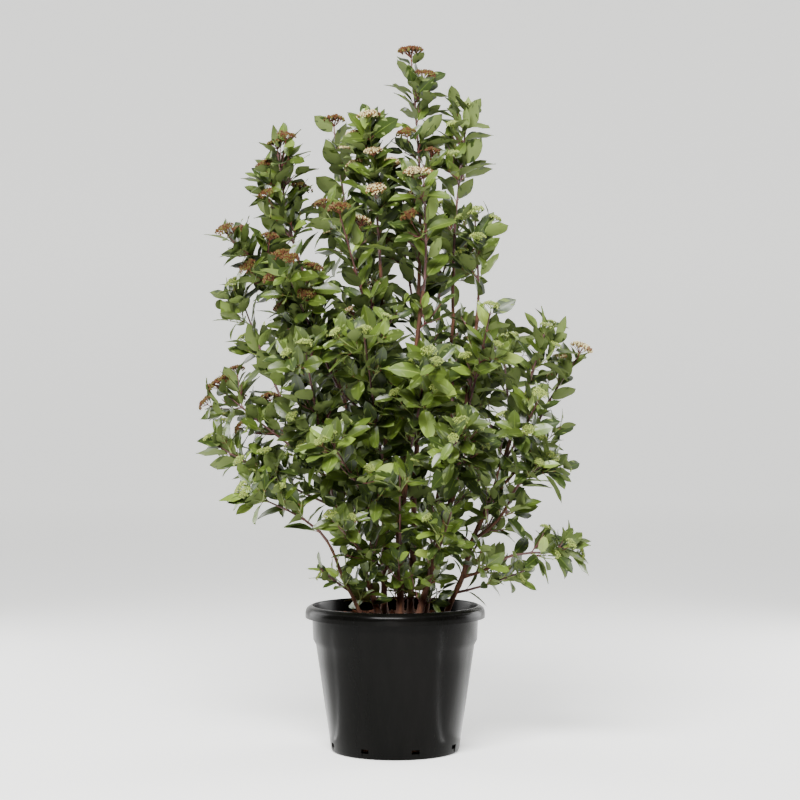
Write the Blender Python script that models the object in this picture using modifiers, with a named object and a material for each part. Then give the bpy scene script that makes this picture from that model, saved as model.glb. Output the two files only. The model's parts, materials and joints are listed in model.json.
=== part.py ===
"""Potted laurustinus: a many-stemmed evergreen shrub in a round nursery pot.

Metres, +Z up. The origin is the centre of the pot's flat underside, and the front is -Y.
The shrub is built as it grows: stems rise from the soil, boughs fork off them, and each
shoot is one mass of foliage, whose twigs and leaves follow one seeded rule.
"""

import math
import random
from dataclasses import dataclass, field

import bmesh
import bpy
from mathutils import Matrix, Vector
from mathutils.bvhtree import BVHTree

# ---- Driving dimensions ----
POT_HEIGHT = 0.323
POT_RIM_RADIUS = 0.2004
POT_BASE_RADIUS = 0.1433
POT_STEP_HEIGHT = 0.236  # the wall steps out here, to a wider band under the rim
POT_STEP_RADIUS = 0.1768
POT_STEP_RISE = 0.012
POT_BAND_FOOT_RADIUS = 0.1832  # the band widens from here
POT_BAND_RADIUS = 0.1862  # to here, under the rim
POT_WALL = 0.0028
POT_CORNER = 0.006  # cut off the corner between the floor and the wall
RIM_DROP = 0.030  # height of the rim's outer skirt
RIM_SKIRT = 0.003  # the skirt's thickness
RIM_ROLL = 0.011  # the rim's top edge is rounded over this much
POT_STEPS = 36
DRAIN_SLOTS = 8
DRAIN_SLOT_WIDTH = 0.018
DRAIN_SLOT_HEIGHT = 0.0095
DRAIN_SLOT_LEVEL = 0.0175
DRAIN_SLOT_CUT = 0.024  # deep enough to cut through the wall at its slope
DRAIN_SLOT_TURN = math.radians(18.0)  # the first slot's turn from the front
SOIL_LEVEL = 0.293
CLEARANCE = 0.0003  # between pieces that touch

LIMB_SIDES = 8
LIMB_STRIDE = 0.12  # between the rings of a limb
LIMB_RINGS = 4  # at least
TWIG_SIDES = 3
FLARE_HEIGHT = 0.022  # a stem's foot widens over this height above the soil
FLARE = 1.55

# ---- The rule by which a mass grows ----
MASS_STEM_RADIUS = (0.0034, 0.0024)  # at its foot and at its tip
TWIG_RADIUS = (0.0017, 0.0015)
INTERNODE = 0.047  # between pairs of leaves or twigs
FIRST_NODE = 0.030  # from the mass's foot
LAST_NODE = 0.016  # from a shoot's tip
SIDE_SHOOT_SAG = 0.08  # how far a side shoot's middle hangs, as a share of its reach
SIDE_SHOOT_MIDDLE = 0.45
TWIG_NODE = 2  # the node that carries twigs, counted from the foot
TWIG_ANGLE = math.radians(50.0)  # between a twig and the stem that carries it
TWIG_REACH = 0.85  # a twig's length, as a share of its mass's reach
TWIG_LIFT = 0.15  # how far a twig turns up, as a share of its length
TWIG_MIDDLE_PAIR = 0.4  # where a twig's lower leaves sit, as a share of its length
LEAF_ANGLE = math.radians(50.0)
LEAF_STRAY = 0.19  # how far a leaf may stray from that angle and from its turn, in radians
LEAF_LENGTH = 0.100
LEAF_WIDTH = 0.052
LEAF_THICKNESS = 0.0018
LEAF_NARROWING = 0.30  # how much narrower a leaf is at its upper corners
LEAF_KEEL = 0.38  # the thickest place, as a share of the length
LEAF_TROUGH = 0.0045  # how far a leaf's edges stand above its midrib
LEAF_ROOT = 0.0005  # how far a leaf starts behind its twig's axis
LEAF_NECK = 0.12  # the share of a leaf, from its root, that may cross its neighbours
LEAF_ROOM = 1.1  # the room a leaf needs, as a share of its width
LEAF_TRIES = 2
LEAF_STEEPER = 0.87  # a leaf that doesn't fit is tried again, steeper
LEAF_SMALLER = 0.93  # and smaller
LEAF_SIZES = (0.88, 1.06)  # the smallest and the largest, as shares of its size
SHOOT_LEAF = 0.9  # the size of the leaves on twigs and at a shoot's tip
FACE_ALONG = 0.6  # how much a leaf's face follows its shoot,
FACE_UP = 0.6  # the sky,
FACE_OUT = 0.5  # the way out of the crown
FACE_STRAY = 0.4  # and chance
BLOOM_RADIUS = 0.025
BLOOM_HEIGHT = 0.020
BLOOM_SINK = 0.004  # how far a flower head reaches down over its twig's end
BLOOM_SIDES = 5
MASS_GAP = 0.0022  # kept on either side of the border between two masses
LIMB_GAP = 0.0040  # kept between foliage and the limbs that pass
CROWN_AXIS = Vector((0.0, 0.03, 0.0))
FOLIAGE_FLOOR = POT_HEIGHT + 0.012
FIRST_SEED = 100
UP = Vector((0, 0, 1))


@dataclass
class Limb:
    """A stem or bough: where it springs from, where it ends, its sideways bow and its girth."""

    name: str
    parent: str  # the limb that carries it, or "" for a stem that stands in the soil
    foot: tuple  # x and y at the soil, or the height on its parent
    tip: tuple
    bow: tuple
    radius: tuple  # at the foot and at the tip
    path: list = field(default_factory=list)
    girth: list = field(default_factory=list)  # the radius at each point of the path
    towards: Vector = None  # where its foot comes closest to the limb that carries it


@dataclass
class Mass:
    """A mass of foliage: the limb that carries it, its tip, its reach from its stem, and its blooms."""

    name: str
    limb: str
    height: float  # where it springs from its limb's side, or 0 for the limb's tip
    tip: tuple
    reach: float
    blooms: int
    foot: Vector = None
    path: list = field(default_factory=list)
    towards: Vector = None  # where its foot comes closest to the limb that carries it


LIMBS = (
    Limb("stem_left", "", (-0.031, -0.01), (-0.225, -0.01, 0.73), (0.02, 0.0, 0), (0.0072, 0.004)),
    Limb("stem_inner_left", "", (-0.027, 0.016), (-0.033, -0.035, 1.08), (0.01, 0.012, 0), (0.0074, 0.0038)),
    Limb("stem_centre", "", (0.011, 0), (0.062, -0.06, 1.02), (-0.016, 0.014, 0), (0.009, 0.004)),
    Limb("stem_tall", "", (0.033, 0.034), (0.056, 0.02, 1.2), (0.004, 0.012, 0), (0.0076, 0.0036)),
    Limb("stem_inner_right", "", (0.044, -0.04), (0.184, -0.015, 0.98), (0.022, -0.012, 0), (0.0076, 0.004)),
    Limb("stem_right", "", (0.105, 0), (0.275, -0.02, 0.75), (0.006, 0.01, 0), (0.0066, 0.0038)),
    Limb("stem_low_left", "", (-0.066, -0.042), (-0.15, -0.06, 0.47), (0.004, 0.0, 0), (0.0046, 0.003)),
    Limb("stem_back_left", "", (-0.022, 0.062), (-0.075, 0.175, 1.01), (0.01, 0.04, 0), (0.0064, 0.0036)),
    Limb("stem_back_right", "", (0.066, 0.056), (0.1, 0.17, 0.99), (0.022, 0.036, 0), (0.0064, 0.0036)),
    Limb("bough_left_leader", "stem_left", 0.44, (-0.208, 0.01, 1.07), (0.032, 0.026, 0), (0.0048, 0.0034)),
    Limb("bough_inner_left", "stem_centre", 0.5, (-0.086, 0.072, 1.09), (0.02, 0.018, 0), (0.005, 0.0034)),
    Limb("bough_right_leader", "stem_inner_right", 0.56, (0.131, 0.034, 1.08), (0.002, 0.03, 0),
         (0.0048, 0.0034)),
    Limb("bough_low_right", "stem_right", 0.385, (0.235, -0.06, 0.428), (0, 0, -0.005), (0.0036, 0.0028)),
    Limb("bough_right_low", "stem_right", 0.47, (0.256, -0.06, 0.57), (0.01, -0.006, -0.006),
         (0.0038, 0.003)),
    Limb("bough_right_far", "stem_right", 0.56, (0.318, 0.045, 0.72), (0.01, 0.014, -0.01), (0.004, 0.003)),
)

MASSES = (
    Mass("shoot_top", "stem_tall", 0, (0.036, 0.020, 1.552), 0.085, 2),
    Mass("shoot_centre_left", "stem_inner_left", 0, (-0.060, -0.045, 1.400), 0.090, 2),
    Mass("shoot_inner_left", "bough_inner_left", 0, (-0.139, 0.090, 1.408), 0.090, 2),
    Mass("shoot_left", "bough_left_leader", 0, (-0.262, 0.000, 1.362), 0.092, 2),
    Mass("shoot_centre", "stem_centre", 0, (0.063, -0.090, 1.270), 0.092, 2),
    Mass("shoot_right", "bough_right_leader", 0, (0.172, 0.050, 1.448), 0.096, 2),
    Mass("shoot_right_shoulder", "stem_inner_right", 0, (0.176, -0.045, 1.195), 0.088, 1),
    Mass("shoot_upper_middle", "stem_tall", 0.930, (0.006, 0.090, 1.230), 0.088, 1),
    Mass("spray_left_upper", "bough_left_leader", 0.900, (-0.352, -0.040, 1.158), 0.096, 2),
    Mass("spray_left_upper_front", "bough_left_leader", 0.780, (-0.240, -0.150, 1.090), 0.098, 1),
    Mass("spray_inner_left", "stem_inner_left", 0.860, (-0.118, -0.130, 1.190), 0.092, 1),
    Mass("spray_left_shoulder", "stem_left", 0, (-0.356, 0.060, 1.035), 0.100, 1),
    Mass("spray_left_outer", "stem_left", 0.640, (-0.380, -0.020, 0.812), 0.094, 2),
    Mass("spray_left_front", "stem_left", 0.560, (-0.190, -0.230, 0.900), 0.106, 2),
    Mass("spray_centre_left_front", "stem_inner_left", 0.620, (-0.065, -0.250, 0.930), 0.104, 1),
    Mass("spray_centre_right_front", "stem_centre", 0.640, (0.070, -0.260, 0.880), 0.106, 1),
    Mass("spray_right_front", "stem_inner_right", 0.740, (0.205, -0.170, 0.985), 0.104, 1),
    Mass("spray_right_shoulder", "stem_right", 0, (0.332, -0.030, 0.945), 0.096, 2),
    Mass("spray_right_inner", "stem_right", 0.700, (0.245, 0.085, 0.920), 0.092, 1),
    Mass("spray_right_far", "bough_right_far", 0, (0.412, 0.050, 0.892), 0.080, 1),
    Mass("spray_right_middle", "stem_right", 0.640, (0.310, -0.150, 0.795), 0.096, 1),
    Mass("spray_middle_front", "stem_inner_right", 0.600, (0.140, -0.285, 0.740), 0.098, 1),
    Mass("spray_left_middle_front", "stem_inner_left", 0.500, (-0.135, -0.265, 0.710), 0.102, 1),
    Mass("spray_right_low", "bough_right_low", 0, (0.332, -0.090, 0.652), 0.088, 1),
    Mass("spray_left_low", "stem_left", 0.540, (-0.402, -0.050, 0.700), 0.086, 2),
    Mass("spray_left_drooping", "stem_low_left", 0, (-0.325, -0.105, 0.592), 0.082, 1),
    Mass("spray_low_right_branch", "bough_low_right", 0, (0.392, -0.080, 0.458), 0.072, 1),
    Mass("spray_right_inner_low", "stem_right", 0.420, (0.245, 0.080, 0.560), 0.084, 0),
    Mass("spray_low_centre_right", "stem_inner_right", 0.420, (0.120, -0.190, 0.540), 0.084, 0),
    Mass("spray_low_left_front", "stem_inner_left", 0.400, (-0.135, -0.180, 0.540), 0.084, 1),
    Mass("spray_low_centre", "stem_centre", 0.440, (0.010, -0.190, 0.620), 0.080, 0),
    Mass("sprig_low_left", "stem_low_left", 0.360, (-0.165, -0.070, 0.410), 0.058, 0),
    Mass("sprig_low_right", "stem_right", 0.350, (0.288, -0.025, 0.402), 0.058, 0),
    Mass("shoot_back_left", "stem_back_left", 0, (-0.140, 0.230, 1.225), 0.104, 2),
    Mass("shoot_back_right", "stem_back_right", 0, (0.150, 0.235, 1.205), 0.104, 2),
    Mass("spray_back_left", "stem_back_left", 0.720, (-0.255, 0.270, 0.950), 0.112, 1),
    Mass("spray_back_middle", "stem_back_left", 0.640, (0.000, 0.350, 0.900), 0.112, 1),
    Mass("spray_back_right", "stem_back_right", 0.700, (0.240, 0.290, 0.960), 0.112, 1),
    Mass("spray_back_left_low", "stem_back_left", 0.500, (-0.240, 0.250, 0.680), 0.104, 1),
    Mass("spray_back_right_low", "stem_back_right", 0.480, (0.250, 0.260, 0.680), 0.104, 1),
    Mass("spray_back_low", "stem_back_right", 0.440, (0.030, 0.285, 0.600), 0.094, 1),
)


# ---- Materials ----
def material(name, colour, roughness):
    """A Principled BSDF with one colour and roughness."""
    made = bpy.data.materials.new(name)
    made.use_nodes = True
    shader = made.node_tree.nodes["Principled BSDF"]
    shader.inputs["Base Color"].default_value = (*colour, 1.0)
    shader.inputs["Roughness"].default_value = roughness
    return made


# ---- Paths and frames ----
def bowed_path(start, end, bow, points):
    """Points from start to end along a line that bows sideways, most at its middle."""
    start, end, bow = Vector(start), Vector(end), Vector(bow)
    shares = [i / (points - 1) for i in range(points)]
    return [start.lerp(end, t) + bow * (4 * t * (1 - t)) for t in shares]


def eased(ends, count):
    """Values that run evenly between two ends."""
    first, last = ends
    return [first + (last - first) * i / (count - 1) for i in range(count)]


def point_at_height(path, girth, height):
    """Where a path passes a height: the place, the direction and the radius there."""
    for low, high, thick, thin in zip(path, path[1:], girth, girth[1:]):
        if low.z <= height <= high.z:
            share = (height - low.z) / (high.z - low.z)
            return low.lerp(high, share), (high - low).normalized(), thick + (thin - thick) * share
    raise ValueError(f"no point at height {height}")


def frames_along(path, radii, towards=None, level_foot=False):
    """One matrix a point: its place, its turn and its radius as a scale. A corner points towards."""
    direction = UP if level_foot else (path[1] - path[0]).normalized()
    turn = UP.rotation_difference(direction)
    if towards is not None:
        across = towards - direction * towards.dot(direction)
        turn = (turn @ Vector((0, 1, 0))).rotation_difference(across) @ turn
    frames = []
    last = len(path) - 1
    for i, (point, radius) in enumerate(zip(path, radii)):
        ahead = path[min(i + 1, last)] - path[max(i - 1, 0)]
        if i or not level_foot:
            turn = direction.rotation_difference(ahead) @ turn
            direction = ahead.normalized()
        frames.append(Matrix.Translation(point) @ turn.to_matrix().to_4x4() @ Matrix.Scale(radius, 4))
    return frames


# ---- Meshes ----
def tapered_tube(frames, sides):
    """A closed tube: a ring at the first frame, extruded from frame to frame."""
    bm = bmesh.new()
    bmesh.ops.create_circle(bm, segments=sides, radius=1.0, matrix=frames[0])
    ring = list(bm.edges)
    for before, after in zip(frames, frames[1:]):
        made = bmesh.ops.extrude_edge_only(bm, edges=ring)["geom"]
        corners = [item for item in made if isinstance(item, bmesh.types.BMVert)]
        ring = [
            item for item in made
            if isinstance(item, bmesh.types.BMEdge) and all(v in corners for v in item.verts)
        ]
        bmesh.ops.transform(bm, matrix=after @ before.inverted(), verts=corners)
    bmesh.ops.holes_fill(bm, edges=bm.edges)
    bmesh.ops.recalc_face_normals(bm, faces=bm.faces)
    return as_mesh(bm)


def turned_piece(name, profile, look, group):
    """A closed piece turned about Z from half its section."""
    bm = bmesh.new()
    points = [bm.verts.new((radius, 0.0, height)) for radius, height in profile]
    for before, after in zip(points, points[1:]):
        bm.edges.new((before, after))
    piece = make_object(name, as_mesh(bm), look, group)
    turned = piece.modifiers.new("turned", "SCREW")
    turned.steps = turned.render_steps = POT_STEPS
    turned.use_merge_vertices = True
    turned.merge_threshold = 0.0001
    turned.use_smooth_shade = True
    return piece


def as_mesh(bm):
    """The bmesh as a new mesh."""
    mesh = bpy.data.meshes.new("shape")
    bm.to_mesh(mesh)
    bm.free()
    return mesh


def make_object(name, mesh, look, group):
    """A named object of a mesh, with its material, in its collection."""
    mesh.name = name
    mesh.materials.clear()
    mesh.materials.append(look)
    made = bpy.data.objects.new(name, mesh)
    group.objects.link(made)
    return made


# ---- Pot and soil ----
def pot_profile():
    """Half the pot's section: up the inside from the floor's centre, over the rim and down the outside."""
    rim_bottom = POT_HEIGHT - RIM_DROP
    under_roof = POT_HEIGHT - 2 * RIM_SKIRT
    band_foot = POT_STEP_HEIGHT + POT_STEP_RISE
    inside = [
        (0.0, POT_WALL),
        (POT_BASE_RADIUS - POT_WALL - POT_CORNER, POT_WALL),
        (POT_BASE_RADIUS - POT_WALL, POT_WALL + POT_CORNER),
        (POT_STEP_RADIUS - POT_WALL, POT_STEP_HEIGHT + POT_WALL / 2),
        (POT_BAND_FOOT_RADIUS - POT_WALL, band_foot + POT_WALL / 2),
        (POT_BAND_RADIUS - POT_WALL, POT_HEIGHT - 2 * RIM_SKIRT),
        (POT_BAND_RADIUS + RIM_SKIRT / 2, POT_HEIGHT),
    ]
    outside = [
        (POT_RIM_RADIUS - RIM_ROLL, POT_HEIGHT),
        (POT_RIM_RADIUS - RIM_ROLL * 0.3, POT_HEIGHT - RIM_ROLL * 0.3),
        (POT_RIM_RADIUS, POT_HEIGHT - RIM_ROLL),
        (POT_RIM_RADIUS, rim_bottom),
        (POT_RIM_RADIUS - RIM_SKIRT, rim_bottom),
        (POT_RIM_RADIUS - RIM_SKIRT, under_roof),
        (POT_BAND_RADIUS, under_roof),
        (POT_BAND_FOOT_RADIUS, band_foot),
        (POT_STEP_RADIUS, POT_STEP_HEIGHT),
        (POT_BASE_RADIUS, POT_CORNER),
        (POT_BASE_RADIUS - POT_CORNER, 0.0),
        (0.0, 0.0),
    ]
    return inside + outside


def make_pot(group, cutters, plastic):
    """The turned shell, with its ring of drain slots cut through the foot of the wall."""
    pot = turned_piece("pot", pot_profile(), plastic, group)
    size = Matrix.Diagonal((DRAIN_SLOT_WIDTH, DRAIN_SLOT_CUT, DRAIN_SLOT_HEIGHT, 1.0))
    place = Matrix.Translation((0.0, -POT_BASE_RADIUS, DRAIN_SLOT_LEVEL))
    for i in range(DRAIN_SLOTS):
        turn = Matrix.Rotation(DRAIN_SLOT_TURN + math.tau * i / DRAIN_SLOTS, 4, "Z")
        bm = bmesh.new()
        bmesh.ops.create_cube(bm, size=1.0, matrix=turn @ place @ size)
        cutter = make_object(f"drain_slot_{i + 1}", as_mesh(bm), plastic, cutters)
        cutter.hide_render = True
        cutter.display_type = "WIRE"
    drained = pot.modifiers.new("drained", "BOOLEAN")
    drained.operation = "DIFFERENCE"
    drained.operand_type = "COLLECTION"
    drained.collection = cutters


def make_soil(group, earth):
    """The potting soil, which fills the pot to its level, a hair clear of the wall."""
    inset = POT_WALL + 2 * CLEARANCE
    profile = [
        (0.0, SOIL_LEVEL),
        (POT_BAND_FOOT_RADIUS - inset, SOIL_LEVEL),
        (POT_STEP_RADIUS - inset - CLEARANCE, POT_STEP_HEIGHT + POT_WALL / 2),
        (POT_BASE_RADIUS - inset - POT_CORNER, POT_WALL + CLEARANCE),
        (0.0, POT_WALL + CLEARANCE),
    ]
    turned_piece("potting_soil", profile, earth, group)


# ---- Stems and boughs ----
def limb_mesh(limb):
    """A stem or bough as a closed tapering mesh."""
    return tapered_tube(frames_along(limb.path, limb.girth, limb.towards, not limb.parent), LIMB_SIDES)


def spring_point(parent, height, aim, radius):
    """Where a side limb starts on the way to aim, just clear of its parent, and where it comes closest."""
    place, along, girth = point_at_height(parent.path, parent.girth, height)
    direction = (Vector(aim) - place).normalized()
    angle = direction.angle(along)
    out = (direction - along * direction.dot(along)).normalized()
    bark, _, _, _ = tree_of(limb_mesh(parent)).ray_cast(place + out * 2 * girth, -out)
    off = ((bark - place).length + CLEARANCE + radius * abs(math.cos(angle))) / math.sin(angle)
    return place + direction * off, along * math.cos(angle)


def lay_out_limbs():
    """Gives each limb its path and its radius at each point of it."""
    by_name = {}
    for limb in LIMBS:
        if limb.parent:
            parent = by_name[limb.parent]
            start, _, _ = point_at_height(parent.path, parent.girth, limb.foot)
        else:
            start = Vector((*limb.foot, SOIL_LEVEL + CLEARANCE))
        length = (Vector(limb.tip) - start).length
        count = max(LIMB_RINGS, round(length / LIMB_STRIDE) + 1)
        limb.path = bowed_path(start, limb.tip, limb.bow, count)
        if limb.parent:
            limb.path[0], limb.towards = spring_point(parent, limb.foot, limb.path[1], limb.radius[0])
        limb.girth = eased(limb.radius, count)
        if not limb.parent:
            rise = (limb.path[1] - limb.path[0]).normalized()
            limb.path.insert(1, start + rise * (FLARE_HEIGHT / rise.z))
            limb.girth.insert(1, limb.girth[0])
            limb.girth[0] *= FLARE
        by_name[limb.name] = limb
    return by_name


def make_limb(limb, group, bark):
    """One stem or bough as a tapering solid."""
    mesh = limb_mesh(limb)
    mesh.shade_smooth()
    mesh.set_sharp_from_angle(angle=math.radians(60.0))
    make_object(limb.name, mesh, bark, group)


# ---- Spaces that the masses keep to ----
def tree_of(mesh):
    """A mesh as a tree that can be tested against others."""
    return BVHTree.FromPolygons([v.co for v in mesh.vertices], [p.vertices for p in mesh.polygons])


class Spaces:
    """Says whether a piece of foliage lies in its mass's own space, clear of limbs and other stems."""

    def __init__(self, limbs):
        self.limbs = [
            tree_of(tapered_tube(frames_along(limb.path, [r + LIMB_GAP for r in limb.girth]), LIMB_SIDES))
            for limb in limbs.values()
        ]
        wide = MASS_STEM_RADIUS[0] + LIMB_GAP
        self.stems = {
            mass.name: tree_of(tapered_tube(frames_along(mass.path, [wide] * len(mass.path)), TWIG_SIDES))
            for mass in MASSES
        }

    @staticmethod
    def share_of(point, mass):
        """A point's distance from the line between a mass's foot and tip, as a share of the mass's reach."""
        line = mass.path[-1] - mass.foot
        share = (point - mass.foot).dot(line) / line.length_squared
        return (point - mass.foot - line * min(1.0, max(0.0, share))).length / mass.reach

    def holds(self, mass, points):
        """Whether every point is nearer, for its reach, to this mass than to any other."""
        for point in points:
            own = self.share_of(point, mass)
            if own > 1.0 or point.z < FOLIAGE_FLOOR:
                return False
            for other in MASSES:
                margin = MASS_GAP * (1 / mass.reach + 1 / other.reach)
                if other is not mass and self.share_of(point, other) < own + margin:
                    return False
        return True

    def clear(self, mass, tree):
        """Whether a piece's tree keeps its gap to every limb and every other mass's stem."""
        stems = [stem for name, stem in self.stems.items() if name != mass.name]
        return not any(tree.overlap(other) for other in self.limbs + stems)


# ---- Masses of foliage ----
def leaf_blank():
    """A six-cornered leaf of unit size along +Y, flat above, with a keel under its midrib."""
    bm = bmesh.new()
    bmesh.ops.create_cone(bm, cap_ends=True, segments=6, radius1=0.5, radius2=0.0, depth=1.0)
    bmesh.ops.rotate(bm, verts=bm.verts, matrix=Matrix.Rotation(math.pi, 3, "Y"))
    bmesh.ops.translate(bm, verts=bm.verts, vec=(0.0, 0.5, -0.5))
    widest = max(vert.co.x for vert in bm.verts)
    for vert in bm.verts:
        vert.co.x *= 0.5 / widest * (1.0 - LEAF_NARROWING * (vert.co.y - 0.25))
        if vert.co.z < -0.5:
            vert.co.y = LEAF_KEEL
    ends = [vert for vert in bm.verts if abs(vert.co.x) < 1e-6 and vert.co.z > -0.5]
    bmesh.ops.connect_verts(bm, verts=ends)
    return as_mesh(bm)


def leaf_mesh(blank, frame, length, width, thickness, start=0.0):
    """The blank at a size in a frame, its edges raised above its midrib. start is where it begins."""
    mesh = blank.copy()
    size = Matrix.Diagonal((width, length * (1.0 - start), thickness, 1.0))
    mesh.transform(Matrix.Translation((0.0, length * start, 0.0)) @ size)
    for vert in mesh.vertices:
        vert.co.z += LEAF_TROUGH * abs(vert.co.x) * 2 / width
    mesh.transform(frame)
    return mesh


class Growth:
    """Grows one mass: its stem, its twigs in opposite pairs, and their leaves and flower heads."""

    def __init__(self, mass, spaces, seed, blank):
        self.mass = mass
        self.spaces = spaces
        self.chance = random.Random(seed)
        self.blank = blank
        self.pieces = []
        self.grown = []  # trees of what has grown in this mass, apart from the roots
        self.blooms_left = mass.blooms - 1

    def jitter(self, amount):
        """A random number between -amount and amount."""
        return self.chance.uniform(-amount, amount)

    def facing(self, base, along, direction):
        """A leaf's turn: +Y along it, and +Z out of its face, which looks up and out of the crown."""
        out = base - CROWN_AXIS
        out.z = 0.0
        stray = Vector((self.jitter(FACE_STRAY), self.jitter(FACE_STRAY), 0.0))
        wish = along * FACE_ALONG + UP * FACE_UP + out.normalized() * FACE_OUT + stray
        face = (wish - direction * wish.dot(direction)).normalized()
        return Matrix((direction.cross(face), direction, face)).transposed().to_4x4()

    def leaf(self, base, along, turn, size):
        """Adds a leaf, at the first of a few leans that keeps it in its space and clear of the rest."""
        for attempt in range(LEAF_TRIES):
            lean = LEAF_ANGLE * LEAF_STEEPER ** attempt + self.jitter(LEAF_STRAY)
            direction = leaning(along, turn + self.jitter(LEAF_STRAY), lean)
            frame = Matrix.Translation(base - direction * LEAF_ROOT) @ self.facing(base, along, direction)
            scale = size * LEAF_SMALLER ** attempt
            length, width = LEAF_LENGTH * scale, LEAF_WIDTH * scale
            probe = leaf_mesh(self.blank, frame, length, width * LEAF_ROOM, LEAF_THICKNESS, LEAF_NECK)
            points = [v.co for v in probe.vertices] + [p.center for p in probe.polygons]
            tree = tree_of(probe)
            if not self.spaces.holds(self.mass, points) or not self.spaces.clear(self.mass, tree):
                continue
            if any(tree.overlap(other) for other in self.grown):
                continue
            self.grown.append(tree)
            self.pieces.append(leaf_mesh(self.blank, frame, length, width, LEAF_THICKNESS))
            return

    def pair(self, base, along, turn, size):
        """Adds two opposite leaves at a node."""
        for side in (0.0, math.pi):
            self.leaf(base, along, turn + side, size * self.chance.uniform(*LEAF_SIZES))

    def bloom(self, top, along):
        """Adds a flower head on a twig's end: a flat cluster of buds that widens upward."""
        turned = UP.rotation_difference(along).to_matrix().to_4x4()
        place = Matrix.Translation(top + along * (BLOOM_HEIGHT / 2 - BLOOM_SINK)) @ turned
        bm = bmesh.new()
        bmesh.ops.create_cone(
            bm, cap_ends=True, segments=BLOOM_SIDES, radius1=0.0, radius2=BLOOM_RADIUS,
            depth=BLOOM_HEIGHT, matrix=place)
        head = as_mesh(bm)
        tree = tree_of(head)
        if self.spaces.holds(self.mass, [v.co for v in head.vertices]) and self.spaces.clear(self.mass, tree):
            self.grown.append(tree)
            self.pieces.append(head)

    def twig(self, base, along, turn):
        """Adds a side twig where it fits, and returns its foot and its tip, or None."""
        direction = (leaning(along, turn, TWIG_ANGLE) + UP * TWIG_LIFT).normalized()
        tip = base + direction * self.mass.reach * TWIG_REACH * self.chance.uniform(*LEAF_SIZES)
        outer = bowed_path(base.lerp(tip, 0.25), tip, (0, 0, 0), 3)
        tree = tree_of(tapered_tube(frames_along(outer, eased(TWIG_RADIUS, 3)), TWIG_SIDES))
        fits = self.spaces.holds(self.mass, outer) and self.spaces.clear(self.mass, tree)
        if not fits or any(tree.overlap(other) for other in self.grown):
            return None
        self.grown.append(tree)
        self.pieces.append(tapered_tube(frames_along([base, tip], TWIG_RADIUS), TWIG_SIDES))
        return base, tip

    def grow(self):
        """Adds the stem and all it carries, and returns the pieces, with the stem first."""
        path = self.mass.path
        girth = eased(MASS_STEM_RADIUS, len(path))
        self.pieces.append(tapered_tube(frames_along(path, girth, self.mass.towards), TWIG_SIDES))
        run = sum((high - low).length for low, high in zip(path, path[1:]))
        nodes = max(3, round((run - FIRST_NODE) / INTERNODE))
        turn = self.chance.uniform(0, math.pi)
        tip, along = point_along(path, 1.0)
        if self.mass.blooms:
            self.bloom(tip, along)
        self.pair(tip - along * LAST_NODE, along, turn + nodes * math.pi / 2, SHOOT_LEAF)
        for i in reversed(range(nodes)):
            base, along = point_along(path, (FIRST_NODE + i * (run - FIRST_NODE) / nodes) / run)
            spin = turn + i * math.pi / 2 + self.jitter(LEAF_STRAY)
            if i == TWIG_NODE:
                self.branch(base, along, spin)
                spin += math.pi / 2
            self.pair(base, along, spin, 1.0)
        return self.pieces

    def branch(self, base, along, turn):
        """Adds two opposite twigs with their leaves, and a flower head on the first that has room."""
        for twig in (self.twig(base, along, turn), self.twig(base, along, turn + math.pi)):
            if twig is None:
                continue
            foot, tip = twig
            heading = (tip - foot).normalized()
            spin = self.chance.uniform(0, math.pi)
            if self.blooms_left > 0:
                self.bloom(tip, heading)
                self.blooms_left -= 1
            self.pair(tip - heading * LAST_NODE, heading, spin, SHOOT_LEAF)
            self.pair(foot.lerp(tip, TWIG_MIDDLE_PAIR), heading, spin + math.pi / 2, SHOOT_LEAF)


def leaning(along, turn, lean):
    """The unit vector that leans away from a twig's direction, at a turn about it."""
    level = Vector((1, 0, 0)) if abs(along.x) < 0.8 else Vector((0, 1, 0))
    across = level.cross(along).normalized()
    out = across * math.cos(turn) + along.cross(across) * math.sin(turn)
    return along * math.cos(lean) + out * math.sin(lean)


def point_along(path, share):
    """The place and direction at a share of a path's length."""
    runs = [(high - low).length for low, high in zip(path, path[1:])]
    left = share * sum(runs)
    for low, high, run in zip(path, path[1:], runs):
        if left <= run:
            return low.lerp(high, left / run), (high - low).normalized()
        left -= run
    return path[-1], (path[-1] - path[-2]).normalized()


def lay_out_masses(limbs):
    """Gives each mass its foot, its stem's path, and the side where it meets the limb that carries it."""
    for mass in MASSES:
        limb = limbs[mass.limb]
        tip = Vector(mass.tip)
        if mass.height:
            place, _, _ = point_at_height(limb.path, limb.girth, mass.height)
            bend = place.lerp(tip, SIDE_SHOOT_MIDDLE) - UP * SIDE_SHOOT_SAG * mass.reach
            mass.foot, mass.towards = spring_point(limb, mass.height, bend, MASS_STEM_RADIUS[0])
        else:
            ahead = (limb.path[-1] - limb.path[-2]).normalized()
            mass.foot = limb.path[-1] + ahead * CLEARANCE
            bend = mass.foot + ahead * LAST_NODE
        mass.path = [mass.foot, bend, tip]


def whole_piece(mesh):
    """Keeps the largest shell of a mesh, so that loose scraps are dropped and sealed hollows are filled."""
    bm = bmesh.new()
    bm.from_mesh(mesh)
    left = set(bm.verts)
    shells = []
    while left:
        front = [left.pop()]
        shell = list(front)
        while front:
            near = {edge.other_vert(vert) for vert in front for edge in vert.link_edges} & left
            left -= near
            front = list(near)
            shell += front
        shells.append(shell)
    shells.sort(key=len)
    for scrap in shells[:-1]:
        bmesh.ops.delete(bm, geom=scrap, context="VERTS")
    bmesh.ops.triangulate(bm, faces=bm.faces)
    bm.to_mesh(mesh)
    bm.free()
    return mesh


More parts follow.
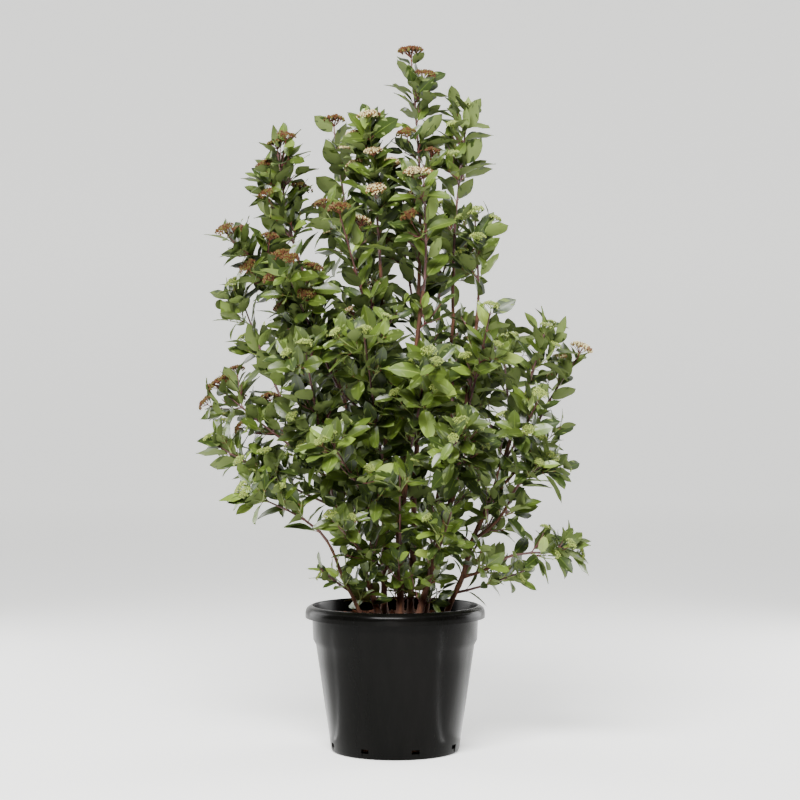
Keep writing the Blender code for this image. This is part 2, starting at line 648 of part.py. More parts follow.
def fuse(name, pieces, look, group):
    """Joins a mass's pieces into one closed mesh by a Boolean union on their collection."""
    loose = bpy.data.collections.new(f"{name}_pieces")
    bpy.context.scene.collection.children.link(loose)
    stem = bpy.data.objects.new(name, pieces[0])
    group.objects.link(stem)
    for i, mesh in enumerate(pieces[1:]):
        loose.objects.link(bpy.data.objects.new(f"{name}_piece_{i}", mesh))
    union = stem.modifiers.new("fused", "BOOLEAN")
    union.operation = "UNION"
    union.operand_type = "COLLECTION"
    union.collection = loose
    union.solver = "MANIFOLD"
    bpy.context.view_layer.update()
    joined = bpy.data.meshes.new_from_object(stem.evaluated_get(bpy.context.evaluated_depsgraph_get()))
    for piece in list(loose.objects):
        bpy.data.objects.remove(piece)
    bpy.data.collections.remove(loose)
    bpy.data.objects.remove(stem)
    make_object(name, whole_piece(joined), look, group)


def main():
    """Clears the scene and builds the plant in its pot."""
    for old in list(bpy.data.objects):
        bpy.data.objects.remove(old)
    plant = bpy.data.collections.new("potted_laurustinus")
    cutters = bpy.data.collections.new("cutters")
    for group in (plant, cutters):
        bpy.context.scene.collection.children.link(group)

    make_pot(plant, cutters, material("black polypropylene", (0.014, 0.014, 0.015), 0.38))
    make_soil(plant, material("bark potting mix", (0.075, 0.038, 0.020), 0.95))
    bark = material("red brown bark", (0.135, 0.062, 0.030), 0.75)
    limbs = lay_out_limbs()
    for limb in limbs.values():
        make_limb(limb, plant, bark)

    lay_out_masses(limbs)
    spaces = Spaces(limbs)
    green = material("evergreen foliage", (0.050, 0.115, 0.022), 0.45)
    blank = leaf_blank()
    for number, mass in enumerate(MASSES):
        growth = Growth(mass, spaces, FIRST_SEED + number, blank)
        fuse(mass.name, growth.grow(), green, plant)


main()
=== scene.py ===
"""Potted laurustinus: the looks of a many-stemmed evergreen shrub in its nursery pot.

Metres, +Z up. The origin is the centre of the pot's flat underside, and the front is -Y.
The shrub grows by the same rule as its solids, carried on to finer twigs, and each kind of
thing that it carries, such as its leaves, is joined into a few pieces.
"""

import json
import logging
import math
import random
from dataclasses import dataclass, field
from enum import Enum
from typing import Iterable, Sequence

import bmesh
import bpy
import numpy as np
from mathutils import Matrix, Vector, noise
from mathutils.bvhtree import BVHTree

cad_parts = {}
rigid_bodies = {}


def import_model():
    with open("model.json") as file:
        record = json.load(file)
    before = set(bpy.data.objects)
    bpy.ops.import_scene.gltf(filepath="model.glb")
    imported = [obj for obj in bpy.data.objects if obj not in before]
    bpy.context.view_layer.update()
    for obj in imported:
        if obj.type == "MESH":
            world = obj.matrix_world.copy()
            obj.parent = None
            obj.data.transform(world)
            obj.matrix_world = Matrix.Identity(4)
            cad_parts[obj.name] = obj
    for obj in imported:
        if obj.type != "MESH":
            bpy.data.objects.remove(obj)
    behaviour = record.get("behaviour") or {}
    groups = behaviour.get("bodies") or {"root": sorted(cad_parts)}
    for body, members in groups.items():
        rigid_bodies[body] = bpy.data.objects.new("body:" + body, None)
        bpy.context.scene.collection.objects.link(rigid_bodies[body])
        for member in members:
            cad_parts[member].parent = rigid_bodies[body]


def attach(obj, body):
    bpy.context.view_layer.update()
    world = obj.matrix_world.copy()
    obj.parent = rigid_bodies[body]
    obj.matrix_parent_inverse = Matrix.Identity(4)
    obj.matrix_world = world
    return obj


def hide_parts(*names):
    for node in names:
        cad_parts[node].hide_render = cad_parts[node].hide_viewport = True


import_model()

LOG = logging.getLogger("laurustinus")
UP = Vector((0.0, 0.0, 1.0))
MILLIMETRE = 0.001
WELD = 0.00002  # points nearer than this are one
NOT_ZERO = 1e-6  # stands in for a zero that something is divided by
STEEP = 0.8  # a direction with this much of an axis in it counts as going its way
FINE_NOISE = {"Detail": 4.0, "Roughness": 0.6}  # for grain and relief
CLOUD_NOISE = {"Detail": 5.0, "Roughness": 0.65}  # for mottling
SCATTER = (0.4, 1.0, 0.15)  # how far red, green and blue light goes on through a green bud, beside each other


# ---- Colours, nodes and materials ----
TOE, TOE_SLOPE, LIFT, GAMMA = 0.04045, 12.92, 0.055, 2.4  # of the sRGB curve


def linear(colour: str) -> tuple[float, float, float, float]:
    """Turns an sRGB hex colour to linear.

    Args:
        colour: Six hex digits after a hash sign.

    Returns:
        Red, green, blue and an alpha of one.
    """
    parts = [int(colour[i:i + 2], 16) / 255 for i in (1, 3, 5)]
    values = [p / TOE_SLOPE if p <= TOE else ((p + LIFT) / (1.0 + LIFT)) ** GAMMA for p in parts]
    return (*values, 1.0)


def add_node(tree: bpy.types.NodeTree, kind: str, settings: dict, links: dict) -> bpy.types.Node:
    """Adds a node with its settings and links.

    Args:
        tree: The material's node tree.
        kind: The node's type.
        settings: Values by the name of an attribute, or by the name or number of an input.
        links: Output sockets by the name or number of the input that they feed.

    Returns:
        The new node.
    """
    node = tree.nodes.new(kind)
    for name, value in settings.items():
        if isinstance(name, int) or name in node.inputs:
            node.inputs[name].default_value = value
        else:
            setattr(node, name, value)
    for name, output in links.items():
        tree.links.new(output, node.inputs[name])
    return node


@dataclass(frozen=True)
class Finish:
    """A surface: one base colour, with roughness and relief from noise at a real size."""

    name: str
    colour: str
    roughness: tuple[float, float]  # at its smoothest and at its roughest
    grain_mm: float  # the size of the relief's bumps
    relief_mm: float  # their depth
    stretch: tuple[float, float, float] = (1.0, 1.0, 1.0)  # of the pattern, per axis
    specular: float = 0.5
    subsurface: float = 0.0  # how much light goes on through it
    second: str = ""  # a colour that the first is mottled with
    mottle_mm: float = 20.0  # the size of the mottling
    shares: tuple[float, float] = (0.35, 0.65)  # where the mottling starts and ends

    def material(self) -> bpy.types.Material:
        """Builds the material, on Object coordinates.

        Returns:
            The new material.
        """
        made = bpy.data.materials.new(self.name)
        made.use_nodes = True
        tree = made.node_tree
        shader = tree.nodes["Principled BSDF"]
        shader.inputs["Base Color"].default_value = linear(self.colour)
        shader.inputs["Specular IOR Level"].default_value = self.specular
        place = add_node(tree, "ShaderNodeTexCoord", {}, {})
        turned = add_node(
            tree, "ShaderNodeMapping", {"Scale": self.stretch}, {"Vector": place.outputs["Object"]})
        grain = add_node(
            tree, "ShaderNodeTexNoise",
            {"Scale": 1.0 / (self.grain_mm * MILLIMETRE), **FINE_NOISE},
            {"Vector": turned.outputs["Vector"]})
        gloss = add_node(
            tree, "ShaderNodeMapRange", {"To Min": self.roughness[0], "To Max": self.roughness[1]},
            {"Value": grain.outputs["Fac"]})
        relief = add_node(
            tree, "ShaderNodeBump", {"Distance": self.relief_mm * MILLIMETRE, "Strength": 1.0},
            {"Height": grain.outputs["Fac"]})
        tree.links.new(gloss.outputs["Result"], shader.inputs["Roughness"])
        tree.links.new(relief.outputs["Normal"], shader.inputs["Normal"])
        if self.subsurface:
            shader.inputs["Subsurface Weight"].default_value = self.subsurface
            shader.inputs["Subsurface Radius"].default_value = SCATTER
            shader.inputs["Subsurface Scale"].default_value = MILLIMETRE
        if self.second:
            self._mottle(tree, turned, shader)
        return made

    def _mottle(self, tree: bpy.types.NodeTree, turned: bpy.types.Node, shader: bpy.types.Node) -> None:
        """Mottles the base colour with the second one.

        Args:
            tree: The material's node tree.
            turned: The node that gives the pattern its place.
            shader: The shader that takes the colour.
        """
        cloud = add_node(
            tree, "ShaderNodeTexNoise",
            {"Scale": 1.0 / (self.mottle_mm * MILLIMETRE), **CLOUD_NOISE},
            {"Vector": turned.outputs["Vector"]})
        ramp = add_node(tree, "ShaderNodeValToRGB", {}, {"Fac": cloud.outputs["Fac"]})
        low, high = ramp.color_ramp.elements
        low.position, high.position = self.shares
        low.color, high.color = linear(self.colour), linear(self.second)
        tree.links.new(ramp.outputs["Color"], shader.inputs["Base Color"])


# Laurustinus leaves are leathery, with a waxy skin: a soft broad gloss on top and matt, pale undersides.
def leaf_skin(name: str, colour: str) -> Finish:
    """The waxy upper skin of a leaf, in the green that its age and its zone's painted shade pick."""
    return Finish(name, colour, roughness=(0.27, 0.42), grain_mm=6.0, relief_mm=0.10, specular=0.44)


def leaf_back(name: str, colour: str) -> Finish:
    """The matt pale underside of a leaf, or a stalk or rib, which the same skin covers thinly."""
    return Finish(name, colour, roughness=(0.60, 0.80), grain_mm=5.0, relief_mm=0.08, specular=0.15)


def bud(name: str, colour: str, specular: float = 0.2, subsurface: float = 0.1) -> Finish:
    """The dull waxy bloom of a flower bud."""
    return Finish(
        name, colour, roughness=(0.5, 0.7), grain_mm=2.0, relief_mm=0.05, specular=specular,
        subsurface=subsurface)


def chip(name: str, colour: str) -> Finish:
    """A torn, matt flake of bark or wood."""
    return Finish(name, colour, roughness=(0.75, 0.95), grain_mm=2.0, relief_mm=0.4, specular=0.2)


# Leaves take these greens by age and, zone by zone, darker ones as painted shade.
DEEP_LEAF = leaf_skin("waxy_leaf_skin_deep_green", "#2a3813")
DARK_LEAF = leaf_skin("waxy_leaf_skin_dark_green", "#394715")
MIDDLE_LEAF = leaf_skin("waxy_leaf_skin_mid_green", "#4c5f20")
FRESH_LEAF = leaf_skin("waxy_leaf_skin_fresh_green", "#64792d")
YOUNG_LEAF = leaf_skin("waxy_leaf_skin_young_green", "#839644")
RIB_DULL = leaf_back("leaf_midrib_dull_green", "#5c6f2a")
RIB_BRIGHT = leaf_back("leaf_midrib_pale_green", "#7f9042")
BACK_GREY = leaf_back("leaf_underside_grey_green", "#62703e")
BACK_YOUNG = leaf_back("leaf_underside_young_green", "#7a8d4a")
STALK_RED = leaf_back("leaf_stalk_reddish", "#663c30")
STALK_GREEN = leaf_back("leaf_stalk_green", "#7d8f45")

# Young bark is thin and smooth: wine red where the sun reaches it, and green on the newest twigs.
SHOOT_BARK = Finish("young_bark_red_brown", "#4a2b27", roughness=(0.45, 0.65), grain_mm=4.0, relief_mm=0.15)
TWIG_RED = Finish("young_bark_wine_red", "#56292b", roughness=(0.42, 0.6), grain_mm=4.0, relief_mm=0.10)
TWIG_GREEN = Finish("twig_skin_green", "#6c7a3c", roughness=(0.45, 0.6), grain_mm=4.0, relief_mm=0.10)
TWIG_FINISHES = (SHOOT_BARK, TWIG_RED, TWIG_GREEN)

# Older bark has split into fine lengthwise plates: dark brown, and orange brown where a plate is fresh.
OLD_BARK = Finish(
    "split_bark_brown", "#4a3024",
    roughness=(0.7, 0.92), grain_mm=2.2, relief_mm=0.5, stretch=(1.0, 1.0, 0.22),
    specular=0.25, second="#68442d", mottle_mm=7.0, shares=(0.50, 0.66))

# Flower buds have a dull waxy bloom. Open ones high up have gone cream and russet, the lower ones are green.
BUD_CREAM = bud("flower_bud_cream", "#c0b283")
BUD_BROWN = bud("flower_bud_dusty_brown", "#6b4c2e")
BUD_RUSSET = bud("flower_bud_russet", "#52311a", subsurface=0.0)
BUD_OLIVE = bud("flower_bud_olive", "#595326", subsurface=0.0)
BUD_LIME = bud("flower_bud_lime_green", "#8f9c48", specular=0.5)
BUD_GREEN = bud("flower_bud_green", "#637335", specular=0.5)

# Injection-moulded polypropylene, coloured right through: satin, with faint flow marks down the wall.
POT_PLASTIC = Finish(
    "moulded_polypropylene_black", "#060605", roughness=(0.19, 0.27), grain_mm=9.0, relief_mm=0.12,
    stretch=(1.0, 1.0, 0.12), specular=0.06, second="#0c0b0a", mottle_mm=60.0, shares=(0.4, 0.7))

# Composted bark and peat: matt, crumbly and dark, with chips from reddish to pale on top.
SOIL_CRUMB = Finish(
    "composted_bark_crumb", "#2b1d15", roughness=(0.9, 1.0), grain_mm=2.5, relief_mm=1.5, specular=0.1,
    second="#472e20", mottle_mm=9.0)
CHIP_RED = chip("bark_chip_red_brown", "#6b3f2a")
CHIP_DARK = chip("bark_chip_dark_brown", "#402719")
CHIP_PALE = chip("bark_chip_pale_wood", "#b59368")


# ---- Shapes and pieces ----
@dataclass
class Shape:
    """A small mesh as arrays, ready to be copied many times."""

    points: np.ndarray
    corners: np.ndarray  # of all faces, one after another
    sizes: np.ndarray  # how many corners each face has
    parts: np.ndarray  # which of its finishes each face takes

    @classmethod
    def of(cls, bm: bmesh.types.BMesh) -> "Shape":
        """Reads a bmesh and frees it.

        Args:
            bm: The bmesh, whose faces carry their part as their material index.

        Returns:
            The shape.
        """
        bm.verts.index_update()
        points = np.array([v.co[:] for v in bm.verts])
        corners = np.array([v.index for f in bm.faces for v in f.verts])
        sizes = np.array([len(f.verts) for f in bm.faces])
        parts = np.array([f.material_index for f in bm.faces])
        bm.free()
        return cls(points, corners, sizes, parts)


class Gathered:
    """Copies of shapes, gathered to be joined into one mesh."""

    def __init__(self) -> None:
        """Starts with nothing."""
        self.points: list[np.ndarray] = []
        self.corners: list[np.ndarray] = []
        self.sizes: list[np.ndarray] = []
        self.looks: list[np.ndarray] = []
        self.count = 0
        self.copies = 0

    def add(self, shape: Shape, place: Matrix, looks: Sequence[int]) -> None:
        """Adds a copy of a shape.

        Args:
            shape: The shape.
            place: Where the copy goes.
            looks: The material slot that each of the shape's parts takes.
        """
        turn = np.array(place)
        self.points.append(shape.points @ turn[:3, :3].T + turn[:3, 3])
        self.corners.append(shape.corners + self.count)
        self.sizes.append(shape.sizes)
        self.looks.append(np.take(looks, shape.parts))
        self.count += len(shape.points)
        self.copies += 1

    def piece(self, name: str, finishes: Sequence[bpy.types.Material], sharp: float) -> bpy.types.Object:
        """Joins the copies into one object.

        Args:
            name: The object's name.
            finishes: Its materials, in the order of its slots.
            sharp: The angle in degrees over which an edge shades sharp.

        Returns:
            The new object.
        """
        sizes = np.concatenate(self.sizes)
        corners = np.concatenate(self.corners)
        points = np.concatenate(self.points)
        mesh = bpy.data.meshes.new(name)
        mesh.vertices.add(len(points))
        mesh.vertices.foreach_set("co", points.ravel())
        mesh.loops.add(len(corners))
        mesh.loops.foreach_set("vertex_index", corners)
        mesh.polygons.add(len(sizes))
        mesh.polygons.foreach_set("loop_start", np.cumsum(sizes) - sizes)
        mesh.polygons.foreach_set("material_index", np.concatenate(self.looks))
        mesh.update(calc_edges=True)
        return finished(name, mesh, finishes, sharp)


def finished(
    name: str, mesh: bpy.types.Mesh, finishes: Sequence[bpy.types.Material], sharp: float,
) -> bpy.types.Object:
    """Makes a mesh a smooth-shaded object with its materials.

    Args:
        name: The object's name.
        mesh: Its mesh, already in place.
        finishes: Its materials, in the order of its slots.
        sharp: The angle in degrees over which an edge shades sharp.

    Returns:
        The new object, linked to the scene.
    """
    for finish in finishes:
        mesh.materials.append(finish)
    mesh.shade_smooth()
    mesh.set_sharp_from_angle(angle=math.radians(sharp))
    made = bpy.data.objects.new(name, mesh)
    bpy.context.scene.collection.objects.link(made)
    return made


def run_of(path: list[Vector]) -> float:
    """A path's length."""
    return sum((high - low).length for low, high in zip(path, path[1:]))


def meshed(name: str, bm: bmesh.types.BMesh) -> bpy.types.Mesh:
    """Turns a bmesh to a mesh and frees it.

    Args:
        name: The mesh's name.
        bm: The bmesh.

    Returns:
        The new mesh.
    """
    mesh = bpy.data.meshes.new(name)
    bm.to_mesh(mesh)
    bm.free()
    return mesh


def merge(bm: bmesh.types.BMesh, scratch: bpy.types.Mesh, other: bmesh.types.BMesh) -> None:
    """Adds another bmesh to one, and frees the other.

    Args:
        bm: The bmesh that grows.
        scratch: A mesh to pass the other through.
        other: The bmesh that is added.
    """
    other.to_mesh(scratch)
    other.free()
    bm.from_mesh(scratch)


def spun(section: Iterable[Sequence[float]], steps: int) -> bmesh.types.BMesh:
    """Turns a section about Z into a closed round body.

    Args:
        section: Radius and height of each of its points, in order.
        steps: The steps of the full turn.

    Returns:
        The body as a bmesh, its faces outwards.
    """
    bm = bmesh.new()
    points = [bm.verts.new((0.0, -radius, height)) for radius, height in section]
    edges = [bm.edges.new(ends) for ends in zip(points, points[1:])]
    bmesh.ops.spin(
        bm, geom=points + edges, cent=(0, 0, 0), axis=(0, 0, 1), angle=math.tau, steps=steps, use_merge=True,
        use_duplicate=False)
    bmesh.ops.remove_doubles(bm, verts=bm.verts, dist=WELD)
    bmesh.ops.recalc_face_normals(bm, faces=bm.faces)
    return bm


def declare(piece: bpy.types.Object, nodes: Iterable[str]) -> None:
    """Rides a piece on the plant's one body and says what it stands for.

    Args:
        piece: The piece.
        nodes: The solids that it replaces.
    """
    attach(piece, "root")
    nodes = list(nodes)
    if nodes:
        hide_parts(*nodes)
    LOG.info("%s: %d faces, replaces %d nodes", piece.name, len(piece.data.polygons), len(nodes))


# ---- Paths and tubes ----
def bowed(start: Vector, end: Vector, bow: Vector, points: int) -> list[Vector]:
    """Gives points from start to end along a line that bows sideways, most at its middle.

    Args:
        start: Where it starts.
        end: Where it ends.
        bow: How far its middle lies off the straight line.
        points: How many points.

    Returns:
        The points.
    """
    shares = [i / (points - 1) for i in range(points)]
    return [start.lerp(end, t) + bow * (4 * t * (1 - t)) for t in shares]


def point_at_height(path: list[Vector], height: float) -> tuple[Vector, Vector, float]:
    """Finds where a rising path passes a height.

    Args:
        path: The path's points.
        height: The height.

    Returns:
        The place, the direction there, and the share of the path's segments below it.
    """
    for i, (low, high) in enumerate(zip(path, path[1:])):
        if low.z <= height <= high.z:
            share = (height - low.z) / (high.z - low.z)
            return low.lerp(high, share), (high - low).normalized(), (i + share) / (len(path) - 1)
    raise ValueError(f"no point at height {height}")


def point_along(path: list[Vector], share: float) -> tuple[Vector, Vector]:
    """Finds the place and direction at a share of a path's length.

    Args:
        path: The path's points.
        share: The share of its length.

    Returns:
        The place, and the direction there.
    """
    runs = [(high - low).length for low, high in zip(path, path[1:])]
    left = share * sum(runs)
    for low, high, run in zip(path, path[1:], runs):
        if left <= run:
            return low.lerp(high, left / run), (high - low).normalized()
        left -= run
    return path[-1], (path[-1] - path[-2]).normalized()


def frames_along(path: list[Vector], radii: list[float]) -> list[Matrix]:
    """Gives each point of a path a frame that turns with it as little as it can.

    Args:
        path: The path's points.
        radii: The radius at each, which is the frame's scale.

    Returns:
        One matrix a point, with Z along the path.
    """
    direction = (path[1] - path[0]).normalized()
    turn = UP.rotation_difference(direction)
    frames = []
    last = len(path) - 1
    for i, (point, radius) in enumerate(zip(path, radii)):
        ahead = (path[min(i + 1, last)] - path[max(i - 1, 0)]).normalized()
        turn = direction.rotation_difference(ahead) @ turn
        direction = ahead
        frames.append(Matrix.Translation(point) @ turn.to_matrix().to_4x4() @ Matrix.Scale(radius, 4))
    return frames


def tube(path: list[Vector], radii: list[float], sides: int, part: int = 0) -> bmesh.types.BMesh:
    """Builds a closed tube: a ring at the first frame, extruded from frame to frame.

    Args:
        path: The points it follows.
        radii: Its radius at each.
        sides: The sides of its rings.
        part: The material index of its faces.

    Returns:
        The tube as a bmesh.
    """
    frames = frames_along(path, radii)
    bm = bmesh.new()
    bmesh.ops.create_circle(bm, segments=sides, radius=1.0, matrix=frames[0])
    ring = list(bm.edges)
    for before, after in zip(frames, frames[1:]):
        made = bmesh.ops.extrude_edge_only(bm, edges=ring)["geom"]
        corners = [item for item in made if isinstance(item, bmesh.types.BMVert)]
        known = set(corners)
        ring = [
            item for item in made
            if isinstance(item, bmesh.types.BMEdge) and all(v in known for v in item.verts)
        ]
        bmesh.ops.transform(bm, matrix=after @ before.inverted(), verts=corners)
    bmesh.ops.holes_fill(bm, edges=bm.edges)
    bmesh.ops.recalc_face_normals(bm, faces=bm.faces)
    for face in bm.faces:
        face.material_index = part
    return bm


# ---- Pot ----
@dataclass
class Pot:
    """A round moulded nursery pot: a sloping wall, a wider band and a folded-over rim with a skirt."""

    height: float = 0.323
    rim_radius: float = 0.2004
    base_radius: float = 0.1433
    step_height: float = 0.236  # the wall steps out here, to the band
    step_radius: float = 0.1768
    step_rise: float = 0.012
    band_foot_radius: float = 0.1832
    band_radius: float = 0.1862
    wall: float = 0.0028
    corner: float = 0.006
    rim_drop: float = 0.026
    skirt: float = 0.003
    skirt_row: float = 0.7  # the skirt has a row of points this far down
    roll: float = 0.016
    roll_steps: int = 6
    wall_rows: int = 6
    corner_bulge: float = 0.3  # how far the corner's middle stays in from a square one, beside its radius
    sharp: float = 34.0  # edges of more degrees than this shade sharp
    steps: int = 120
    slots: int = 8
    slot_size: tuple[float, float, float] = (0.018, 0.024, 0.0095)
    slot_level: float = 0.0175
    slot_turn: float = math.radians(18.0)
    recess_depth: float = 0.0011  # the wall is let in this much below each slot
    recess_width: float = 0.9  # beside its slot's
    dent_turn: float = math.radians(-4.6)  # a dent in the skirt, beside the front
    dent_width: float = 0.010
    dent_depth: float = 0.0050

    def profile(self) -> list[tuple[float, float]]:
        """Lists half the pot's section.

        Returns:
            Radii and heights, up the inside from the floor's centre, over the rim and down.
        """
        under_roof = self.height - 2 * self.skirt
        band_foot = self.step_height + self.step_rise
        bulge = self.corner * self.corner_bulge
        roll = [
            (self.rim_radius - self.roll * (1 - math.sin(a)), self.height - self.roll * (1 - math.cos(a)))
            for a in (math.pi / 2 * i / self.roll_steps for i in range(self.roll_steps + 1))
        ]
        inside = [
            (0.0, self.wall),
            (self.base_radius - self.wall - self.corner, self.wall),
            (self.base_radius - self.wall, self.wall + self.corner),
            (self.step_radius - self.wall, self.step_height + self.wall / 2),
            (self.band_foot_radius - self.wall, band_foot + self.wall / 2),
            (self.band_radius - self.wall, under_roof),
            (self.band_radius - self.wall / 2, self.height - self.skirt / 2),
            (self.band_radius + self.skirt / 2, self.height),
        ]
        wall = [
            (
                self.step_radius + (self.base_radius - self.step_radius) * i / self.wall_rows,
                self.step_height + (self.corner - self.step_height) * i / self.wall_rows,
            )
            for i in range(self.wall_rows + 1)
        ]
        outside = [
            (self.rim_radius, self.height - self.rim_drop * self.skirt_row),
            (self.rim_radius, self.height - self.rim_drop),
            (self.rim_radius - self.skirt, self.height - self.rim_drop),
            (self.rim_radius - self.skirt, under_roof),
            (self.band_radius, under_roof),
            (self.band_foot_radius, band_foot),
            *wall,
            (self.base_radius - bulge, bulge),
            (self.base_radius - self.corner, 0.0),
            (0.0, 0.0),
        ]
        return inside + roll + outside

    def _shell(self) -> bmesh.types.BMesh:
        """Turns the section about Z and dents the skirt.

        Returns:
            The shell as a bmesh.
        """
        bm = spun(self.profile(), self.steps)
        for vert in bm.verts:
            self._dent(vert)
        return bm

    def _dent(self, vert: bmesh.types.BMVert) -> None:
        """Presses a point in where it is on the skirt, the more so the nearer it is to the dent.

        Args:
            vert: The point.
        """
        skirt_top = self.height - self.roll
        if vert.co.xy.length < self.rim_radius - 2 * self.skirt or vert.co.z > skirt_top:
            return
        turn = math.atan2(vert.co.x, -vert.co.y) - self.dent_turn
        near = math.exp(-((turn * self.rim_radius / self.dent_width) ** 2))
        low = (skirt_top - vert.co.z) / (self.rim_drop - self.roll)
        inward = -Vector((vert.co.x, vert.co.y, 0.0)).normalized()
        vert.co += inward * self.dent_depth * near * low

    def _cutter(self, size: Sequence[float], level: float, depth: float) -> bpy.types.Object:
        """Makes a ring of blocks that cut into the foot of the wall.

        Args:
            size: Each block's width, depth and height.
            level: The height of its middle.
            depth: How far its middle lies inside the wall's outside at the foot.

        Returns:
            The blocks as one object.
        """
        bm = bmesh.new()
        for i in range(self.slots):
            turn = Matrix.Rotation(self.slot_turn + math.tau * i / self.slots, 4, "Z")
            place = Matrix.Translation((0.0, -self.base_radius + depth, level))
            bmesh.ops.create_cube(bm, size=1.0, matrix=turn @ place @ Matrix.Diagonal((*size, 1.0)))
        made = bpy.data.objects.new("cutter", meshed("cutter", bm))
        bpy.context.scene.collection.objects.link(made)
        return made

    def build(self) -> bpy.types.Object:
        """Builds the pot, with its drain slots cut, as one piece.

        Returns:
            The pot.
        """
        mesh = meshed("nursery_pot", self._shell())
        pot = finished("nursery_pot", mesh, [POT_PLASTIC.material()], self.sharp)
        width, cut, high = self.slot_size
        slope = (self.step_radius - self.base_radius) / (self.step_height - self.corner)
        recess_top = self.slot_level - high / 2
        recess_middle = recess_top / 2
        recess_foot = self.corner / 4
        recess_size = (width * self.recess_width, cut, recess_top - recess_foot)
        outside = slope * (recess_middle - self.corner)
        cutters = [
            self._cutter((width, cut, high), self.slot_level, 0.0),
            self._cutter(recess_size, recess_middle + recess_foot / 2, self.recess_depth - outside - cut / 2),
        ]
        for cutter in cutters:
            cut_out = pot.modifiers.new("drained", "BOOLEAN")
            cut_out.operation = "DIFFERENCE"
            cut_out.solver = "EXACT"
            cut_out.object = cutter
        bpy.context.view_layer.update()
        depsgraph = bpy.context.evaluated_depsgraph_get()
        drained = bpy.data.meshes.new_from_object(pot.evaluated_get(depsgraph))
        pot.modifiers.clear()
        pot.data = drained
        for cutter in cutters:
            bpy.data.objects.remove(cutter)
        drained.shade_smooth()
        drained.set_sharp_from_angle(angle=math.radians(self.sharp))
        declare(pot, ["pot"])
        return pot


